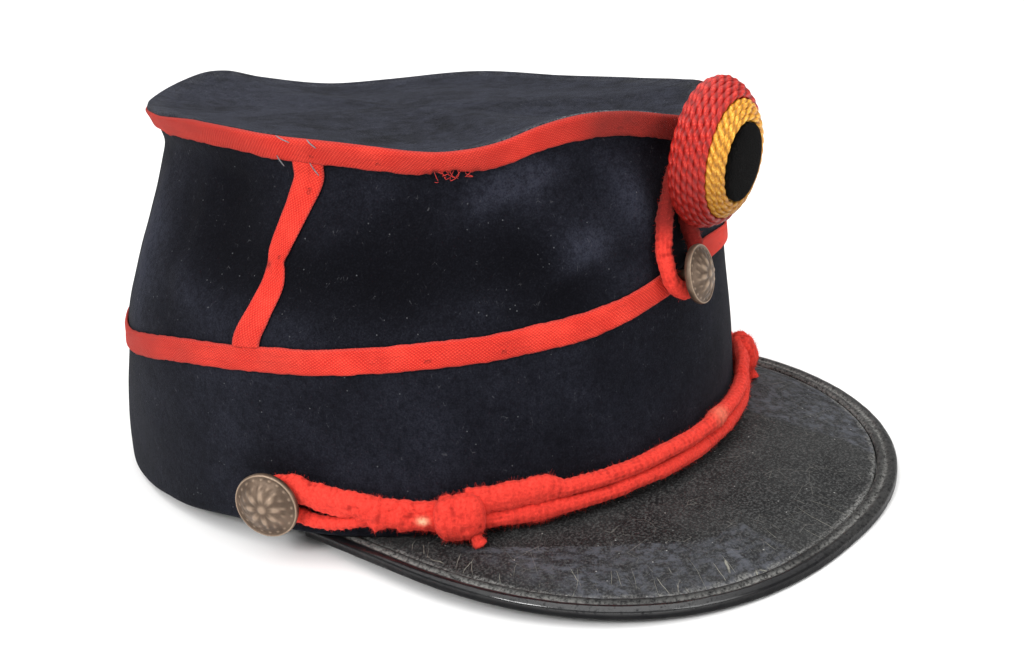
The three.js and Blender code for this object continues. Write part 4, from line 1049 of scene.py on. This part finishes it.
COCKADE_SCALE = 16.8
FORWARD = np.array([0, -math.cos(COCKADE_PITCH), -math.sin(COCKADE_PITCH)])
UPWARD = np.array([0, -math.sin(COCKADE_PITCH), math.cos(COCKADE_PITCH)])


def cockade_point(share, forward, theta):
    """Oval of the cockade at a share of its size, moved forward of its plane."""
    share, forward, theta = np.broadcast_arrays(share, forward, theta)
    x, z = COCKADE_HALF[0] * share * np.cos(theta), COCKADE_HALF[1] * share * np.sin(theta)
    return COCKADE_MIDDLE + x[..., None] * [1, 0, 0] + z[..., None] * UPWARD + forward[..., None] * FORWARD


def cockade_body(profile):
    """Closed oval body: a half-section of shares and distances forward, turned about its axis."""
    profile = np.asarray(profile, float)
    theta = np.linspace(0, 2 * np.pi, 120, endpoint=False)[None]
    rows = along(np.column_stack([profile * [COCKADE_SCALE, 1], profile[:, 0] * 0]), 0.5)
    return skin(cockade_point(rows[:, :1] / COCKADE_SCALE, rows[:, 1:2], theta), (0, 1), True)


def cockade_rows(profile, count, radius, pitch):
    """Rows of twisted silk cord laid side by side over the cockade's rounded edge."""
    profile = np.asarray(profile, float) * [COCKADE_SCALE, 1]
    run = run_length(profile)
    spots = curve(run, profile, np.linspace(0, run[-1], count))
    theta = np.linspace(0, 2 * np.pi, 330, endpoint=False)
    rows = []
    for number, (share, forward) in enumerate(spots):
        path = cockade_point(share / COCKADE_SCALE, forward, theta)
        path = path + 0.12 * mottle(path, 6, 80 + number)[:, None] * FORWARD
        made = twisted(path, radius, 2, pitch, 14, FORWARD, True, number * number * 2.3)
        # Painted shade: each row darker towards the bottom of the cockade
        low = smooth((COCKADE_MIDDLE[2] + 8 - made["points"][:, 2]) / 24)
        made["marks"]["soil"] = 0.72 * low
        rows.append(made)
    return rows


red_core = cockade_body([
    (0.02, -4), (0.58, -4), (0.84, -2.6), (0.92, 0), (0.88, 2.2), (0.8, 4.2), (0.74, 4.8), (0.02, 4.2)])
red_rows = cockade_rows([(0.88, -2.4), (0.935, -0.4), (0.925, 1.5), (0.88, 3.4), (0.81, 5.3)], 7, 1.05, 6.2)
make("cockade_red_wound", [red_core] + red_rows, SILK_RED, "red_silk", "cockade_red")
yellow_core = cockade_body([(0.5, 4.6), (0.74, 4.6), (0.72, 6.2), (0.66, 7.4), (0.58, 8.0), (0.5, 8.2)])
yellow_rows = cockade_rows([(0.725, 6.4), (0.66, 7.7), (0.56, 8.5)], 4, 0.9, 5.2)
make("cockade_yellow_wound", [yellow_core] + yellow_rows, SILK_YELLOW, "yellow_silk", "cockade_yellow")
velvet = cockade_body([
    (0.02, 4.4), (0.47, 4.4), (0.5, 8.4), (0.5, 9.7), (0.43, 10.2), (0.24, 10.5), (0.02, 10.6)])
make("cockade_black_velvet", [velvet], VELVET, "black_velvet", "cockade_black")

loop_path = along(LOOP_ROUTE, 0.3)
loop_body, loop_grid, loop_out = knitted(loop_path, 2.3, 2.0, up=(0.3, -1, 0.2), seed=91)
loop_x, _, loop_z = loop_body["points"].T
# Middle of the loop's left leg: height and x
LOOP_LEG = np.array([(48.0, 0.2), (52.4, -4.1), (57.4, -4.5), (62.8, -3.3), (68.4, -1.0), (80.0, 6.0)])
leg_x = curve(LOOP_LEG[:, 0], LOOP_LEG[:, 1], loop_z)
# Painted shade on the loop: darker on the inner side of its left leg and over its right leg above the button,
# and darker all round higher up towards the cockade
inner = 0.8 * smooth((loop_x - leg_x - 0.1) / 1.2) * smooth((loop_z - 54) / 5)
loop_body["marks"]["soil"] = np.maximum(inner, 0.8 * smooth((loop_z - 60) / 8))
make("cockade_loop_knit", [loop_body, fuzz(loop_grid, loop_out, 1500)], CORD, "red_cord", "cockade_loop")


def on_crown_tape(angles, drops, stand):
    """Points just off the crown tape's face at angles and drops below the crown's edge."""
    angles, drops = np.asarray(angles, float), np.asarray(drops, float)
    inset = TAPE_BEVEL * smooth((drops - 0.2) / 6.8) - stand
    return oval_point(EDGE_OVAL, angles, rim_height(angles) - drops, nose(angles) - inset)


basting = [
    thread(on_crown_tape((71.6, 70.6, 69.2), (-0.3, 0.2, 1.0), np.array([0.1, 0.5, 0.15])), 0.16),
    thread(on_crown_tape((65.8, 65.2, 64.4), (-0.4, 0.4, 1.5), np.array([0.1, 0.4, 0.15])), 0.16),
    thread(on_crown_tape((72.9, 72.4, 71.8), (5.2, 6.2, 7.6), np.array([0.1, 0.5, 0.3])), 0.16),
    thread(on_crown_tape((66.6, 66.0, 65.2), (5.8, 7.0, 8.6), np.array([0.1, 0.5, 0.3])), 0.16)]
make("basting_threads", basting, PALE, "navy_wool")
hanging = []
for start in np.linspace(44.6, 38.4, 10):
    drift, fall = rng.normal() * 0.9, rng.uniform(1.0, 3.2)
    angles = (start + np.array([0, 0.3, 0.75, 1.0]) * drift
              + np.array([0, rng.normal() * 0.4, rng.normal() * 0.5, 0]))
    drops = 4.7 + np.array([0, 0.5, 0.9, 0.75]) * fall + np.array([0, 0, 0, rng.normal() * 0.5])
    hanging.append(thread(on_crown_tape(angles, drops, np.array([0.0, 0.3, 0.5, 0.4])), 0.075))
make("torn_tape_threads", hanging, TAPE, "red_tape")

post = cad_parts["cockade_post"]
post.data.materials.clear()
post.data.materials.append(BRONZE)

# Floor, light and camera
floor_mesh = bpy.data.meshes.new("floor")
reach = np.array([(-6.0, -6.0, 0.0), (6.0, -6.0, 0.0), (6.0, 6.0, 0.0), (-6.0, 6.0, 0.0)])
floor_mesh.from_pydata(reach.tolist(), [], [(0, 1, 2, 3)])
floor = bpy.data.objects.new("floor", floor_mesh)
floor_mesh.materials.append(studio_floor())
bpy.context.scene.collection.objects.link(floor)

scene = bpy.context.scene
scene.view_settings.view_transform = "Standard"
scene.world = bpy.data.worlds.new("studio")
scene.world.use_nodes = True
sky = scene.world.node_tree.nodes["Background"]
sky.inputs["Color"].default_value = (1.0, 0.995, 0.985, 1.0)
sky.inputs["Strength"].default_value = 0.34


def lamp(name, spot, aim, size, power):
    """A square soft light at a spot, turned to face its aim."""
    light = bpy.data.lights.new(name, "AREA")
    light.size, light.energy = size, power
    holder = bpy.data.objects.new(name, light)
    away = np.asarray(spot, float) - aim
    side = unit(np.cross((0.0, 1.0, 0.02), away))
    high = unit(np.cross(away, side))
    turn = np.eye(4)
    turn[:3, :3] = np.column_stack([side, high, unit(away)])
    turn[:3, 3] = spot
    holder.matrix_world = Matrix(turn.tolist())
    scene.collection.objects.link(holder)


lamp("overhead", (0.2, 0.4, 2.4), (0.2, 0.4, 0.0), 5.0, 128.0)
lamp("left_side", (-1.3, -0.1, 1.0), (0, 0, 0.05), 0.4, 12.0)
lamp("right_side", (-0.1, -1.44, 0.9), (0, 0, 0.05), 0.8, 8.0)

# The camera's place, its axes and its focal length in picture widths
CAMERA_SPOT = np.array([-251.29, -283.85, 151.48])
CAMERA_AXES = np.array([(0.6707, -0.7350, -0.1003), (0.3066, 0.1516, 0.9396), (-0.6754, -0.6609, 0.3270)])
FOCAL_WIDTHS = 1309.81 / 1024
view = bpy.data.cameras.new("view")
view.lens, view.sensor_width = FOCAL_WIDTHS * 36, 36.0
camera = bpy.data.objects.new("view", view)
origin = place(np.zeros(3))
turn = np.eye(4)
turn[:3, :3] = ((place(CAMERA_AXES) - origin) * 1000).T
turn[:3, 3] = place(CAMERA_SPOT)
camera.matrix_world = Matrix(turn.tolist())
scene.collection.objects.link(camera)
scene.camera = camera

bpy.context.view_layer.update()
